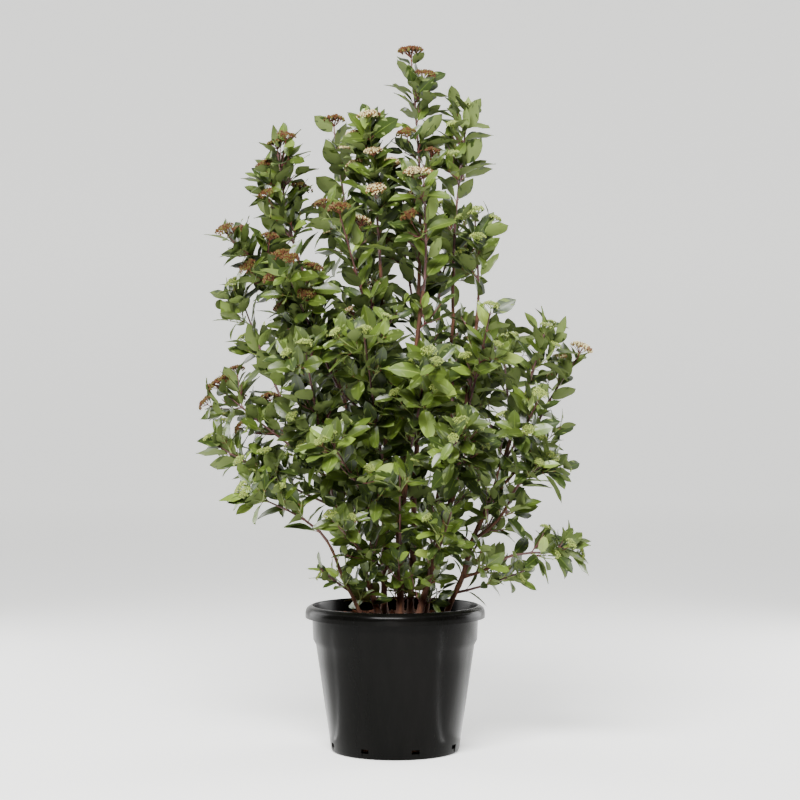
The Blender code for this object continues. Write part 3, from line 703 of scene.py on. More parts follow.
# ---- Soil ----
@dataclass
class Soil:
    """Bark compost with a crumbly top, strewn with chips of bark."""

    level: float = 0.293
    top_radius: float = 0.1798
    foot_radius: float = 0.126
    foot_level: float = 0.0032
    ring_width: float = 0.006
    turns: int = 144
    sharp: float = 60.0
    relief: float = 0.0035
    crumbs: tuple[float, float] = (95.0, 0.45)  # to the metre, and their share of the relief
    crumb_noise: tuple[float, float, int] = (0.8, 2.0, 4)  # its roughness, the step and number of its octaves
    hollows: tuple[float, float] = (16.0, 0.5)
    slices: tuple[float, float] = (0.3, 1.7)  # of the noise, for the crumbs and for the hollows
    mound: tuple[float, float] = (0.004, 0.07)  # the rise towards the stems: its height and its radius
    chips: int = 900
    chip_forms: int = 8
    chip_length: tuple[float, float] = (0.005, 0.019)
    chip_usual: float = 1.5  # the commonest length, beside the shortest
    chip_width: tuple[float, float] = (0.4, 0.6)  # beside its length, as are the next three
    chip_thickness: tuple[float, float] = (0.16, 0.3)
    chip_bevel: float = 0.12
    chip_bow: float = 0.12
    chip_taper: float = 0.45  # how much narrower one end is
    chip_rough: float = 0.03  # beside its length, as is the next
    chip_lift: float = 0.06  # how high its middle lies
    chip_tilts: tuple[float, float] = (0.28, 0.22)  # radians
    chip_margin: float = 0.008  # kept to the pot's wall
    chip_sharp: float = 40.0  # degrees
    chip_looks: tuple[int, int, int] = (0, 0, 1)  # red ones are twice as common as dark ones
    pale_share: float = 0.06
    pale_look: int = 2
    seed: int = 7

    def height_at(self, x: float, y: float) -> float:
        """Gives the surface's height: crumbs and shallow hollows, and a rise towards the stems.

        Args:
            x: The place across.
            y: The place along.

        Returns:
            The height.
        """
        (crumb_pitch, crumb_share), (hollow_pitch, hollow_share) = self.crumbs, self.hollows
        crumb_slice, hollow_slice = self.slices
        height, radius = self.mound
        crumbs = noise.fractal(Vector((x, y, crumb_slice)) * crumb_pitch, *self.crumb_noise)
        hollows = noise.noise(Vector((x, y, hollow_slice)) * hollow_pitch)
        rise = height * math.exp(-((math.hypot(x, y) / radius) ** 2))
        return self.level + self.relief * (crumb_share * crumbs + hollow_share * hollows) + rise

    def _body(self) -> bmesh.types.BMesh:
        """Turns the soil's section and gives its top the relief.

        Returns:
            The body as a bmesh.
        """
        rings = round(self.top_radius / self.ring_width)
        section = [(self.top_radius * i / rings, self.level) for i in range(rings + 1)]
        section += [(self.foot_radius, self.foot_level), (0.0, self.foot_level)]
        bm = spun(section, self.turns)
        for vert in bm.verts:
            if vert.co.z > self.level - self.relief:
                vert.co.z = self.height_at(vert.co.x, vert.co.y)
        return bm

    def _chip(self, chance: random.Random) -> Shape:
        """Makes a flake of bark of unit length: a bevelled slab with one end narrowed.

        Args:
            chance: Where its draws come from.

        Returns:
            The flake.
        """
        bm = bmesh.new()
        size = (1.0, chance.uniform(*self.chip_width), chance.uniform(*self.chip_thickness), 1.0)
        bmesh.ops.create_cube(bm, size=1.0, matrix=Matrix.Diagonal(size))
        uprights = [e for e in bm.edges if abs(e.verts[0].co.z - e.verts[1].co.z) > WELD]
        bmesh.ops.bevel(
            bm, geom=uprights, offset=self.chip_bevel, offset_type="OFFSET", affect="EDGES", segments=1,
            profile=0.5, material=-1)
        for vert in bm.verts:
            vert.co.y *= 1.0 - self.chip_taper * (vert.co.x + 0.5)
            roughness = chance.uniform(-self.chip_rough, self.chip_rough)
            vert.co.z += self.chip_bow * vert.co.x * vert.co.x + roughness
        return Shape.of(bm)

    def _place(self, chance: random.Random) -> Matrix:
        """Picks where a chip lies, how it is turned and tilted, and how long it is.

        Args:
            chance: Where its draws come from.

        Returns:
            The chip's place, turn and size as a matrix.
        """
        away = (self.top_radius - self.chip_margin) * math.sqrt(chance.random())
        turn = chance.uniform(0, math.tau)
        x, y = away * math.cos(turn), away * math.sin(turn)
        length = chance.triangular(*self.chip_length, self.chip_length[0] * self.chip_usual)
        tilts = zip(self.chip_tilts, "XY")
        roll, pitch = (Matrix.Rotation(chance.gauss(0, tilt), 4, axis) for tilt, axis in tilts)
        spin = Matrix.Rotation(chance.uniform(0, math.tau), 4, "Z")
        height = self.height_at(x, y) + length * self.chip_lift
        return Matrix.Translation((x, y, height)) @ spin @ (roll @ pitch) @ Matrix.Scale(length, 4)

    def build(self) -> list[bpy.types.Object]:
        """Builds the soil and its chips.

        Returns:
            The two pieces.
        """
        chance = random.Random(self.seed)
        crumb = SOIL_CRUMB.material()
        body = finished("bark_compost", meshed("bark_compost", self._body()), [crumb], self.sharp)
        declare(body, ["potting_soil"])

        flakes = [self._chip(chance) for _ in range(self.chip_forms)]
        strewn = Gathered()
        for _ in range(self.chips):
            place = self._place(chance)
            look = self.pale_look if chance.random() < self.pale_share else chance.choice(self.chip_looks)
            strewn.add(chance.choice(flakes), place, [look])
        looks = [finish.material() for finish in (CHIP_RED, CHIP_DARK, CHIP_PALE)]
        chips = strewn.piece("bark_chips", looks, self.chip_sharp)
        declare(chips, [])
        return [body, chips]


# ---- Stems and boughs ----
@dataclass
class Limb:
    """A stem or bough: where it springs from, where it ends, its sideways bow and its girth."""

    name: str
    parent: str  # the limb that carries it, or "" for a stem that stands in the soil
    foot: tuple  # x and y at the soil, or the height on its parent
    tip: tuple
    bow: tuple
    radius: tuple  # at the foot and at the tip
    path: list = field(default_factory=list)
    girth: list = field(default_factory=list)


LIMBS = (
    Limb("stem_left", "", (-0.031, -0.01), (-0.225, -0.01, 0.73), (0.02, 0.0, 0), (0.0072, 0.004)),
    Limb("stem_inner_left", "", (-0.027, 0.016), (-0.033, -0.035, 1.08), (0.01, 0.012, 0), (0.0074, 0.0038)),
    Limb("stem_centre", "", (0.011, 0), (0.062, -0.06, 1.02), (-0.016, 0.014, 0), (0.009, 0.004)),
    Limb("stem_tall", "", (0.033, 0.034), (0.056, 0.02, 1.2), (0.004, 0.012, 0), (0.0076, 0.0036)),
    Limb("stem_inner_right", "", (0.044, -0.04), (0.184, -0.015, 0.98), (0.022, -0.012, 0), (0.0076, 0.004)),
    Limb("stem_right", "", (0.105, 0), (0.275, -0.02, 0.75), (0.006, 0.01, 0), (0.0066, 0.0038)),
    Limb("stem_low_left", "", (-0.066, -0.042), (-0.15, -0.06, 0.47), (0.004, 0.0, 0), (0.0046, 0.003)),
    Limb("stem_back_left", "", (-0.022, 0.062), (-0.075, 0.175, 1.01), (0.01, 0.04, 0), (0.0064, 0.0036)),
    Limb("stem_back_right", "", (0.066, 0.056), (0.1, 0.17, 0.99), (0.022, 0.036, 0), (0.0064, 0.0036)),
    Limb("bough_left_leader", "stem_left", 0.44, (-0.208, 0.01, 1.07), (0.032, 0.026, 0), (0.0048, 0.0034)),
    Limb("bough_inner_left", "stem_centre", 0.5, (-0.086, 0.072, 1.09), (0.02, 0.018, 0), (0.005, 0.0034)),
    Limb("bough_right_leader", "stem_inner_right", 0.56, (0.131, 0.034, 1.08), (0.002, 0.03, 0),
         (0.0048, 0.0034)),
    Limb("bough_low_right", "stem_right", 0.385, (0.235, -0.06, 0.428), (0, 0, -0.005), (0.0036, 0.0028)),
    Limb("bough_right_low", "stem_right", 0.47, (0.256, -0.06, 0.57), (0.01, -0.006, -0.006),
         (0.0038, 0.003)),
    Limb("bough_right_far", "stem_right", 0.56, (0.318, 0.045, 0.72), (0.01, 0.014, -0.01), (0.004, 0.003)),
)


@dataclass
class Framework:
    """The stems and boughs, with the relief of their bark."""

    soil_level: float = 0.293
    sunk: float = 0.012  # how far a stem goes down into the soil's crumbs
    ring_gap: float = 0.005
    sides: int = 14
    flare_height: float = 0.022
    flare: float = 0.55  # how much wider a stem's foot is
    collar_height: float = 0.014
    collar: float = 0.5  # how much wider a bough's foot is
    scar_gap: float = 0.046  # between the rings that old leaves have left
    scar_width: float = 0.004
    scar: float = 0.10
    ridge: float = 0.00055  # the depth of the bark's splits
    ridge_pitch: float = 0.0042  # from split to split round the stem
    ridge_length: float = 0.024
    wander: float = 0.0045  # how far a limb strays from its even curve
    wander_pitch: float = 0.085
    wander_slices: tuple[float, float] = (0.5, 9.5)  # of the noise, for the two ways across
    split_noise: tuple[float, float, int] = (0.9, 2.1, 3)  # its roughness, the step and number of its octaves
    split_gap: float = 3.7  # in the noise, from one limb's bark to the next
    fewest_rings: int = 8
    sharp: float = 60.0  # degrees

    def lay_out(self) -> dict[str, Limb]:
        """Gives each limb its path and girth.

        Returns:
            The limbs by name.
        """
        by_name: dict[str, Limb] = {}
        for limb in LIMBS:
            if limb.parent:
                start, _, _ = point_at_height(by_name[limb.parent].path, limb.foot)
            else:
                start = Vector((*limb.foot, self.soil_level - self.sunk))
            tip, bow = Vector(limb.tip), Vector(limb.bow)
            count = max(self.fewest_rings, round((tip - start).length / self.ring_gap))
            limb.path = [
                point + self._stray(point, len(by_name)) * math.sin(math.pi * i / (count - 1))
                for i, point in enumerate(bowed(start, tip, bow, count))
            ]
            limb.girth = [
                self._girth(limb, start, point, i / (count - 1)) for i, point in enumerate(limb.path)
            ]
            by_name[limb.name] = limb
        return by_name

    def _stray(self, point: Vector, number: int) -> Vector:
        """Gives how far a limb strays sideways at a height, each limb in its own way.

        Args:
            point: The point of its even curve.
            number: The limb's number.

        Returns:
            The sideways step. The noise runs to about a half each way, so it is doubled.
        """
        way = point.z / self.wander_pitch
        across, along = (noise.noise(Vector((way, number, place))) for place in self.wander_slices)
        return Vector((across, along, 0.0)) * 2.0 * self.wander

    def _girth(self, limb: Limb, start: Vector, point: Vector, share: float) -> float:
        """Gives the radius at a point: the taper, a swelling at the foot, and the rings of old leaf scars.

        Args:
            limb: The limb.
            start: Its foot.
            point: The point.
            share: How far along the limb it is.

        Returns:
            The radius.
        """
        first, last = limb.radius
        run = (point - start).length
        reach, extra = (self.collar_height, self.collar) if limb.parent else (self.flare_height, self.flare)
        foot = extra * math.exp(-((run / reach) ** 2))
        offset = (run + self.scar_gap / 2) % self.scar_gap - self.scar_gap / 2
        ring = self.scar * math.exp(-((offset / self.scar_width) ** 2))
        return (first + (last - first) * share) * (1.0 + foot + ring)

    def _relief(self, bm: bmesh.types.BMesh, seed: float) -> None:
        """Splits the bark lengthwise.

        Args:
            bm: The limb's tube.
            seed: Sets this limb's pattern apart from the others'.
        """
        bm.normal_update()
        across, along = 1.0 / self.ridge_pitch, 1.0 / self.ridge_length
        for vert in bm.verts:
            place = Vector((vert.co.x * across, vert.co.y * across, vert.co.z * along + seed))
            split = noise.fractal(place, *self.split_noise)
            vert.co += vert.normal * self.ridge * split

    def build(self, limbs: dict[str, Limb]) -> list[bpy.types.Object]:
        """Builds each limb as a piece of its own.

        Args:
            limbs: The laid-out limbs by name.

        Returns:
            The pieces.
        """
        bark = OLD_BARK.material()
        pieces = []
        for number, limb in enumerate(limbs.values()):
            bm = tube(limb.path, limb.girth, self.sides)
            self._relief(bm, number * self.split_gap)
            name = f"{limb.name}_bark"
            piece = finished(name, meshed(name, bm), [bark], self.sharp)
            declare(piece, [limb.name])
            pieces.append(piece)
        return pieces


# ---- Leaves ----
class Part(Enum):
    """The parts of a leaf that differ in colour."""

    BLADE = 0
    RIB = 1
    BACK = 2
    STALK = 3


class Tone(Enum):
    """A leaf's greens, picked by its age, its zone's painted shade and chance: the slots of its blade, rib,
    back and stalk.
    """

    DEEP = (0, 5, 7, 9)
    DARK = (1, 5, 7, 9)
    MIDDLE = (2, 6, 7, 9)
    FRESH = (3, 6, 8, 10)
    YOUNG = (4, 6, 8, 10)


LEAF_FINISHES = (
    DEEP_LEAF, DARK_LEAF, MIDDLE_LEAF, FRESH_LEAF, YOUNG_LEAF, RIB_DULL, RIB_BRIGHT, BACK_GREY, BACK_YOUNG,
    STALK_RED, STALK_GREEN,
)


@dataclass
class LeafForm:
    """An elliptic leaf of unit length along +Y with its face to +Z, drawn from a few rows of faces."""

    fold: float = 0.26  # how steeply the halves rise from the midrib
    droop: float = 0.14  # how far the tip hangs below the line that the base sets out on
    wave: float = 0.015  # how far the edges rise and fall
    phase: float = 0.0  # where along the edge the wave starts
    twist: float = 0.0  # how far the tip turns to one side
    half_width: float = 0.24
    rows: tuple = (0.0, 0.10, 0.26, 0.45, 0.64, 0.82, 1.0)
    widths: tuple = (0.0, 0.50, 0.88, 1.0, 0.91, 0.61, 0.0)
    top_columns: tuple = (-1.0, -0.5, -0.01, 0.01, 0.5, 1.0)  # across the blade, with the rib in the middle
    back_columns: tuple = (-1.0, 0.0, 1.0)
    flatter: float = 0.3  # how much of the fold the tip has lost
    waves: float = 1.6  # along each edge
    rib_half_width: float = 0.009
    rib_reach: float = 1.1  # the rib would narrow to nothing this far along
    rib_limit: float = 0.9  # of the blade's half width that the rib may take
    rib_depth: float = 0.016
    rib_thinning: float = 0.7  # how much of its depth the rib has lost at the tip
    quilt: float = 0.005  # the blade rises this much between its side veins
    quilt_slope: float = 4.0  # the rise is full at a quarter of the way out from the rib
    shortening: float = 0.1  # how much a droop shortens the leaf
    stalk_length: float = 0.14
    stalk_radius: float = 0.012
    stalk_dip: float = -0.02
    stalk_rings: tuple = (  # shares of its length, dip and radius
        (0.0, 1.0, 1.3),
        (0.6, 0.4, 1.0),
        (1.25, 0.0, 0.8),
    )
    stalk_sides: int = 3
    weld: float = 0.0015

    def _surface(self, across: float, row: int) -> Vector:
        """Gives a point of the blade.

        Args:
            across: Its place across, from -1 to 1.
            row: Its row.

        Returns:
            The point.
        """
        t = self.rows[row]
        half = self.half_width * self.widths[row]
        x = across * half
        edge = across * across
        z = self.fold * abs(x) * (1.0 - self.flatter * t) - self.droop * t * t
        ripple = math.sin(math.tau * (self.waves * t + self.phase))
        z += self.wave * edge * ripple * math.copysign(1.0, across)
        z += self.quilt * (1.0 if row % 2 else -1.0) * (1.0 - edge) * min(1.0, abs(across) * self.quilt_slope)
        y = t - self.shortening * self.droop * t * t
        return Vector((x + self.twist * t * t, y, z))

    def _grid(self, columns: Sequence[float], top: bool) -> bmesh.types.BMesh:
        """Shapes one side of the leaf from a grid.

        Args:
            columns: The places across, from -1 to 1.
            top: Whether it is the upper side, with the rib a strip of its own.

        Returns:
            The grid, with its parts as material indices.
        """
        bm = bmesh.new()
        strips, segments = len(columns) - 1, len(self.rows) - 1
        bmesh.ops.create_grid(bm, x_segments=strips, y_segments=segments, size=0.5)
        places = {}
        for vert in bm.verts:
            places[vert] = (round((vert.co.x + 0.5) * strips), round((vert.co.y + 0.5) * segments))
        for face in bm.faces:
            in_rib = top and {places[v][0] for v in face.verts} == {strips // 2, strips // 2 + 1}
            face.material_index = (Part.RIB if in_rib else Part.BLADE if top else Part.BACK).value
        for vert, (column, row) in places.items():
            across = columns[column]
            half = max(NOT_ZERO, self.half_width * self.widths[row])
            if top and 0 < column < strips and abs(column - strips / 2) < 1:
                rib = self.rib_half_width * (self.rib_reach - self.rows[row]) / half
                across = math.copysign(min(self.rib_limit, rib), across)
            vert.co = self._surface(across, row)
            if not top and 0 < column < strips:
                vert.co.z -= self.rib_depth * (1.0 - self.rib_thinning * self.rows[row])
        if not top:
            bmesh.ops.reverse_faces(bm, faces=bm.faces)
        return bm

    def shape(self) -> Shape:
        """Builds the leaf with its stalk.

        Returns:
            The leaf. Its origin is the foot of the stalk.
        """
        scratch = bpy.data.meshes.new("leaf")
        bm = self._grid(self.top_columns, True)
        merge(bm, scratch, self._grid(self.back_columns, False))
        bmesh.ops.remove_doubles(bm, verts=bm.verts, dist=self.weld)
        bmesh.ops.translate(bm, verts=bm.verts, vec=(0.0, self.stalk_length, 0.0))
        path = [
            Vector((0.0, self.stalk_length * far, self.stalk_dip * dip)) for far, dip, _ in self.stalk_rings
        ]
        radii = [self.stalk_radius * girth for _, _, girth in self.stalk_rings]
        merge(bm, scratch, tube(path, radii, self.stalk_sides, Part.STALK.value))
        bpy.data.meshes.remove(scratch)
        return Shape.of(bm)


LEAF_FORMS = (
    LeafForm(),
    LeafForm(fold=0.16, droop=0.20, wave=0.022, phase=0.3, half_width=0.245),
    LeafForm(fold=0.40, droop=0.08, phase=0.6, half_width=0.235),
    LeafForm(fold=0.22, droop=0.02, wave=0.025, phase=0.8, twist=0.05, half_width=0.26),
    LeafForm(fold=0.34, droop=0.18, wave=0.018, phase=0.15, twist=-0.06, half_width=0.215),
    LeafForm(fold=0.10, droop=0.12, wave=0.03, phase=0.5, twist=0.03, half_width=0.27),
    LeafForm(fold=0.30, droop=0.26, wave=0.012, phase=0.9, half_width=0.225),
)


# ---- Flower heads ----
class HeadPart(Enum):
    """The parts of a flower head that differ in colour."""

    BUD = 0
    OTHER_BUD = 1
    RAY = 2


class BudColour(Enum):
    """The colours of a flower head: the slots of its two kinds of bud and of its rays."""

    CREAM = (0, 1, 6)
    RUSSET = (2, 3, 6)
    LIME = (4, 5, 7)


BUD_FINISHES = (BUD_CREAM, BUD_BROWN, BUD_RUSSET, BUD_OLIVE, BUD_LIME, BUD_GREEN, STALK_RED, STALK_GREEN)


@dataclass
class FlowerHead:
    """A flat-topped head: rays spread from a stalk, and each ends in a small dome of buds."""

    seed: int = 0
    stalk: float = 0.007
    rays: int = 7
    inner_rays: int = 3
    ray_length: float = 0.018
    ray_lean: float = math.radians(54.0)
    ray_radius: float = 0.0008
    ray_sides: int = 3
    ray_taper: float = 0.85
    ray_spread: tuple[float, float] = (0.85, 1.1)  # of the outer rays' lean, and of all rays' length
    ray_stray: float = 0.15
    inner_lean: float = 0.40  # beside an outer ray's, as is the next
    inner_length: float = 0.8
    stalk_foot: float = -0.004
    stalk_girth: float = 1.9  # beside a ray's
    buds: int = 13  # on each ray
    dome: float = 0.0088  # the radius of a ray's dome of buds
    dome_lift: float = 1.2  # how much the domes turn up
    dome_heights: tuple[float, float] = (0.75, 0.55)  # of its middle, and how much lower its rim is
    bud: float = 0.0021  # a bud's radius
    bud_sizes: tuple[float, float] = (0.8, 1.2)
    bud_length: float = 1.45  # beside its width
    bud_stray: float = 0.3
    bud_rings: tuple[int, int] = (5, 2)  # its segments round and along
    first_share: float = 0.62  # how many of the buds are of the first kind

    def shape(self) -> Shape:
        """Builds the head, standing on the origin along +Z.

        Returns:
            The head. Its parts are the two kinds of bud and the rays.
        """
        chance = random.Random(self.seed)
        bm = bmesh.new()
        scratch = bpy.data.meshes.new("head")
        top = Vector((0.0, 0.0, self.stalk))
        self._stick(bm, scratch, Vector((0.0, 0.0, self.stalk_foot)), top, self.ray_radius * self.stalk_girth)
        spin = chance.uniform(0, math.tau)
        for i in range(self.rays + self.inner_rays):
            inner = i >= self.rays
            lean = self.ray_lean * (self.inner_lean if inner else chance.uniform(*self.ray_spread))
            stray = chance.uniform(-self.ray_stray, self.ray_stray)
            turn = spin + math.tau * i / (self.inner_rays if inner else self.rays) + stray
            out = Vector((math.sin(lean) * math.cos(turn), math.sin(lean) * math.sin(turn), math.cos(lean)))
            length = self.ray_length * chance.uniform(*self.ray_spread)
            length *= self.inner_length if inner else 1.0
            end = top + out * length
            self._stick(bm, scratch, top, end, self.ray_radius)
            self._dome(bm, end, (out + UP * self.dome_lift).normalized(), chance)
        bpy.data.meshes.remove(scratch)
        return Shape.of(bm)

    def _stick(
        self, bm: bmesh.types.BMesh, scratch: bpy.types.Mesh, low: Vector, high: Vector, radius: float,
    ) -> None:
        """Adds a ray or the stalk to the head.

        Args:
            bm: The head.
            scratch: A mesh to pass it through.
            low: Its foot.
            high: Its end.
            radius: Its radius at the foot.
        """
        girths = [radius, radius * self.ray_taper]
        merge(bm, scratch, tube([low, high], girths, self.ray_sides, HeadPart.RAY.value))

    def _dome(self, bm: bmesh.types.BMesh, base: Vector, along: Vector, chance: random.Random) -> None:
        """Adds a ray's dome of buds, spread evenly by the golden angle.

        Args:
            bm: The head.
            base: The ray's end.
            along: The way that the dome faces.
            chance: Where its draws come from.
        """
        middle, drop = self.dome_heights
        round_segments, rows = self.bud_rings
        turned = UP.rotation_difference(along).to_matrix()
        golden = math.pi * (3.0 - math.sqrt(5.0))
        for i in range(self.buds):
            away = math.sqrt((i + 0.5) / self.buds)
            turn = golden * i + chance.uniform(-self.bud_stray, self.bud_stray)
            rise = self.dome * (middle - drop * away * away)
            spot = Vector((self.dome * away * math.cos(turn), self.dome * away * math.sin(turn), rise))
            size = self.bud * chance.uniform(*self.bud_sizes)
            stretch = Matrix.Diagonal((size, size, size * self.bud_length, 1.0))
            place = Matrix.Translation(base + turned @ spot) @ turned.to_4x4() @ stretch
            made = bmesh.ops.create_uvsphere(
                bm, u_segments=round_segments, v_segments=rows, radius=1.0, matrix=place)["verts"]
            kind = HeadPart.BUD if chance.random() < self.first_share else HeadPart.OTHER_BUD
            for face in {face for vert in made for face in vert.link_faces}:
                face.material_index = kind.value


# ---- Shoots ----
class Zone(Enum):
    """A part of the crown whose leaves, twigs and flower heads are each one piece."""

    LEADERS = "leaders"
    LEFT = "left"
    FRONT = "front"
    RIGHT = "right"
    LOW = "low"
    BACK = "back"


@dataclass(frozen=True)
class Habit:
    """How the shoots of one zone grow.

    Attributes:
        fullness: How likely each place for a side twig has one.
        heads: The flower heads that a shoot's twigs carry, besides the one on its tip.
        tip_head: The size of the head on a shoot's tip.
        twig_head: The size of the heads on its twigs.
        leaf: The size of its leaves.
        shade: Painted shade: how far its leaves are given paler greens than their age gives, or darker ones
            below zero, for how much light the zone gets.
        green_twigs: How likely a shoot's twigs are all green.
    """

    fullness: float
    heads: int
    tip_head: float
    twig_head: float
    leaf: float = 1.0
    shade: float = 0.0
    green_twigs: float = 0.55


# The shade of each zone is painted shade: its leaves are given darker greens than their age alone gives.
HABITS = {  # the tall leaders are sparse, so that the sky shows between them
    Zone.LEADERS: Habit(0.33, 6, 1.25, 0.98, leaf=0.90, shade=-0.14, green_twigs=0.3),
    Zone.LEFT: Habit(0.62, 7, 1.15, 0.92, leaf=0.86, shade=-0.08),
    Zone.FRONT: Habit(0.45, 5, 1.05, 0.80, leaf=0.88, shade=-0.05),
    Zone.RIGHT: Habit(0.48, 4, 1.10, 0.82, leaf=0.86, shade=-0.04),
    Zone.LOW: Habit(0.26, 1, 0.90, 0.70, leaf=0.68, shade=-0.06),
    Zone.BACK: Habit(0.42, 3, 1.00, 0.80, leaf=0.94, shade=-0.05),
}


@dataclass
class Shoot:
    """A mass of foliage: the limb that carries it, its tip, its reach from its stem, and its blooms."""

    name: str
    limb: str
    height: float  # where it springs from its limb's side, or 0 for the limb's tip
    tip: tuple
    reach: float
    blooms: int
    zone: Zone
    buds: BudColour
    full: float = 1.0  # how full it is beside others of its zone
    path: list = field(default_factory=list)


LEADERS, LEFT, FRONT, RIGHT, LOW, BACK = Zone
CREAM, RUSSET, LIME = BudColour

SHOOTS = (
    Shoot("shoot_top", "stem_tall", 0, (0.036, 0.020, 1.552), 0.078, 2, LEADERS, RUSSET, 1.2),
    Shoot("shoot_centre_left", "stem_inner_left", 0, (-0.056, -0.045, 1.400), 0.090, 2,
          LEADERS, CREAM, 1.6),
    Shoot("shoot_inner_left", "bough_inner_left", 0, (-0.139, 0.090, 1.408), 0.090, 2, LEADERS, CREAM, 0.7),
    Shoot("shoot_left", "bough_left_leader", 0, (-0.262, 0.000, 1.346), 0.092, 2, LEADERS, RUSSET, 2.0),
    Shoot("shoot_centre", "stem_centre", 0, (0.063, -0.090, 1.270), 0.092, 2, LEADERS, CREAM, 1.2),
    Shoot("shoot_right", "bough_right_leader", 0, (0.164, 0.050, 1.444), 0.086, 2, LEADERS, LIME, 1.7),
    Shoot("shoot_right_shoulder", "stem_inner_right", 0, (0.176, -0.045, 1.195), 0.080, 1, LEADERS, LIME),
    Shoot("shoot_upper_middle", "stem_tall", 0.930, (0.006, 0.090, 1.230), 0.088, 1, LEADERS, RUSSET),
    Shoot("spray_left_upper", "bough_left_leader", 0.900, (-0.342, -0.040, 1.150), 0.096, 2,
          LEFT, RUSSET, 1.5),
    Shoot("spray_left_upper_front", "bough_left_leader", 0.780, (-0.240, -0.150, 1.090), 0.098, 1,
          LEFT, RUSSET, 1.5),
    Shoot("spray_inner_left", "stem_inner_left", 0.860, (-0.118, -0.130, 1.190), 0.092, 1,
          LEADERS, CREAM, 0.7),
    Shoot("spray_left_shoulder", "stem_left", 0, (-0.356, 0.060, 1.050), 0.080, 1, LEFT, LIME, 0.8),
    Shoot("spray_left_outer", "stem_left", 0.640, (-0.380, -0.020, 0.812), 0.086, 2, LEFT, RUSSET),
    Shoot("spray_left_front", "stem_left", 0.560, (-0.190, -0.230, 0.900), 0.106, 2, LEFT, LIME),
    Shoot("spray_centre_left_front", "stem_inner_left", 0.620, (-0.065, -0.250, 0.930), 0.104, 1,
          FRONT, LIME),
    Shoot("spray_centre_right_front", "stem_centre", 0.640, (0.070, -0.260, 0.885), 0.106, 1,
          FRONT, LIME, 1.2),
    Shoot("spray_right_front", "stem_inner_right", 0.740, (0.205, -0.170, 0.985), 0.094, 1, FRONT, LIME),
    Shoot("spray_right_shoulder", "stem_right", 0, (0.332, -0.030, 0.945), 0.096, 2, RIGHT, LIME, 1.2),
    Shoot("spray_right_inner", "stem_right", 0.700, (0.245, 0.085, 0.920), 0.092, 1, RIGHT, LIME),
    Shoot("spray_right_far", "bough_right_far", 0, (0.412, 0.050, 0.892), 0.070, 1, RIGHT, CREAM),
    Shoot("spray_right_middle", "stem_right", 0.640, (0.310, -0.150, 0.795), 0.088, 1, RIGHT, LIME),
    Shoot("spray_middle_front", "stem_inner_right", 0.600, (0.140, -0.285, 0.740), 0.098, 1, FRONT, LIME),
    Shoot("spray_left_middle_front", "stem_inner_left", 0.500, (-0.135, -0.265, 0.710), 0.102, 1,
          FRONT, LIME),
    Shoot("spray_right_low", "bough_right_low", 0, (0.332, -0.090, 0.660), 0.082, 1, RIGHT, LIME, 1.2),
    Shoot("spray_left_low", "stem_left", 0.540, (-0.402, -0.050, 0.700), 0.086, 2, LEFT, LIME, 1.2),
    Shoot("spray_left_drooping", "stem_low_left", 0, (-0.325, -0.105, 0.592), 0.080, 1, LEFT, LIME, 0.8),
    Shoot("spray_low_right_branch", "bough_low_right", 0, (0.392, -0.080, 0.458), 0.072, 1,
          RIGHT, LIME, 1.6),
    Shoot("spray_right_inner_low", "stem_right", 0.420, (0.245, 0.080, 0.560), 0.070, 0, LOW, LIME),
    Shoot("spray_low_centre_right", "stem_inner_right", 0.420, (0.120, -0.190, 0.540), 0.084, 0, LOW, LIME),
    Shoot("spray_low_left_front", "stem_inner_left", 0.400, (-0.135, -0.180, 0.540), 0.084, 1, LOW, LIME),
    Shoot("spray_low_centre", "stem_centre", 0.440, (0.010, -0.190, 0.620), 0.080, 0, LOW, LIME),
    Shoot("sprig_low_left", "stem_low_left", 0.360, (-0.165, -0.070, 0.410), 0.036, 0, LOW, LIME, 0.4),
    Shoot("sprig_low_right", "stem_right", 0.350, (0.288, -0.025, 0.402), 0.058, 0, LOW, LIME, 1.2),
    Shoot("shoot_back_left", "stem_back_left", 0, (-0.140, 0.230, 1.225), 0.104, 2, BACK, CREAM),
    Shoot("shoot_back_right", "stem_back_right", 0, (0.150, 0.235, 1.205), 0.104, 2, BACK, RUSSET),
    Shoot("spray_back_left", "stem_back_left", 0.720, (-0.255, 0.270, 0.950), 0.112, 1, BACK, LIME),
    Shoot("spray_back_middle", "stem_back_left", 0.640, (0.000, 0.350, 0.900), 0.112, 1, BACK, LIME),
    Shoot("spray_back_right", "stem_back_right", 0.700, (0.240, 0.290, 0.960), 0.112, 1, BACK, LIME),
    Shoot("spray_back_left_low", "stem_back_left", 0.500, (-0.240, 0.250, 0.680), 0.104, 1, LOW, LIME),
    Shoot("spray_back_right_low", "stem_back_right", 0.480, (0.250, 0.260, 0.680), 0.104, 1, LOW, LIME),
    Shoot("spray_back_low", "stem_back_right", 0.440, (0.030, 0.285, 0.600), 0.094, 1, LOW, LIME),
)


class TwigLook(Enum):
    """The bark of a stem or twig of the crown: its material slot."""

    SHOOT = 0
    RED = 1
    GREEN = 2


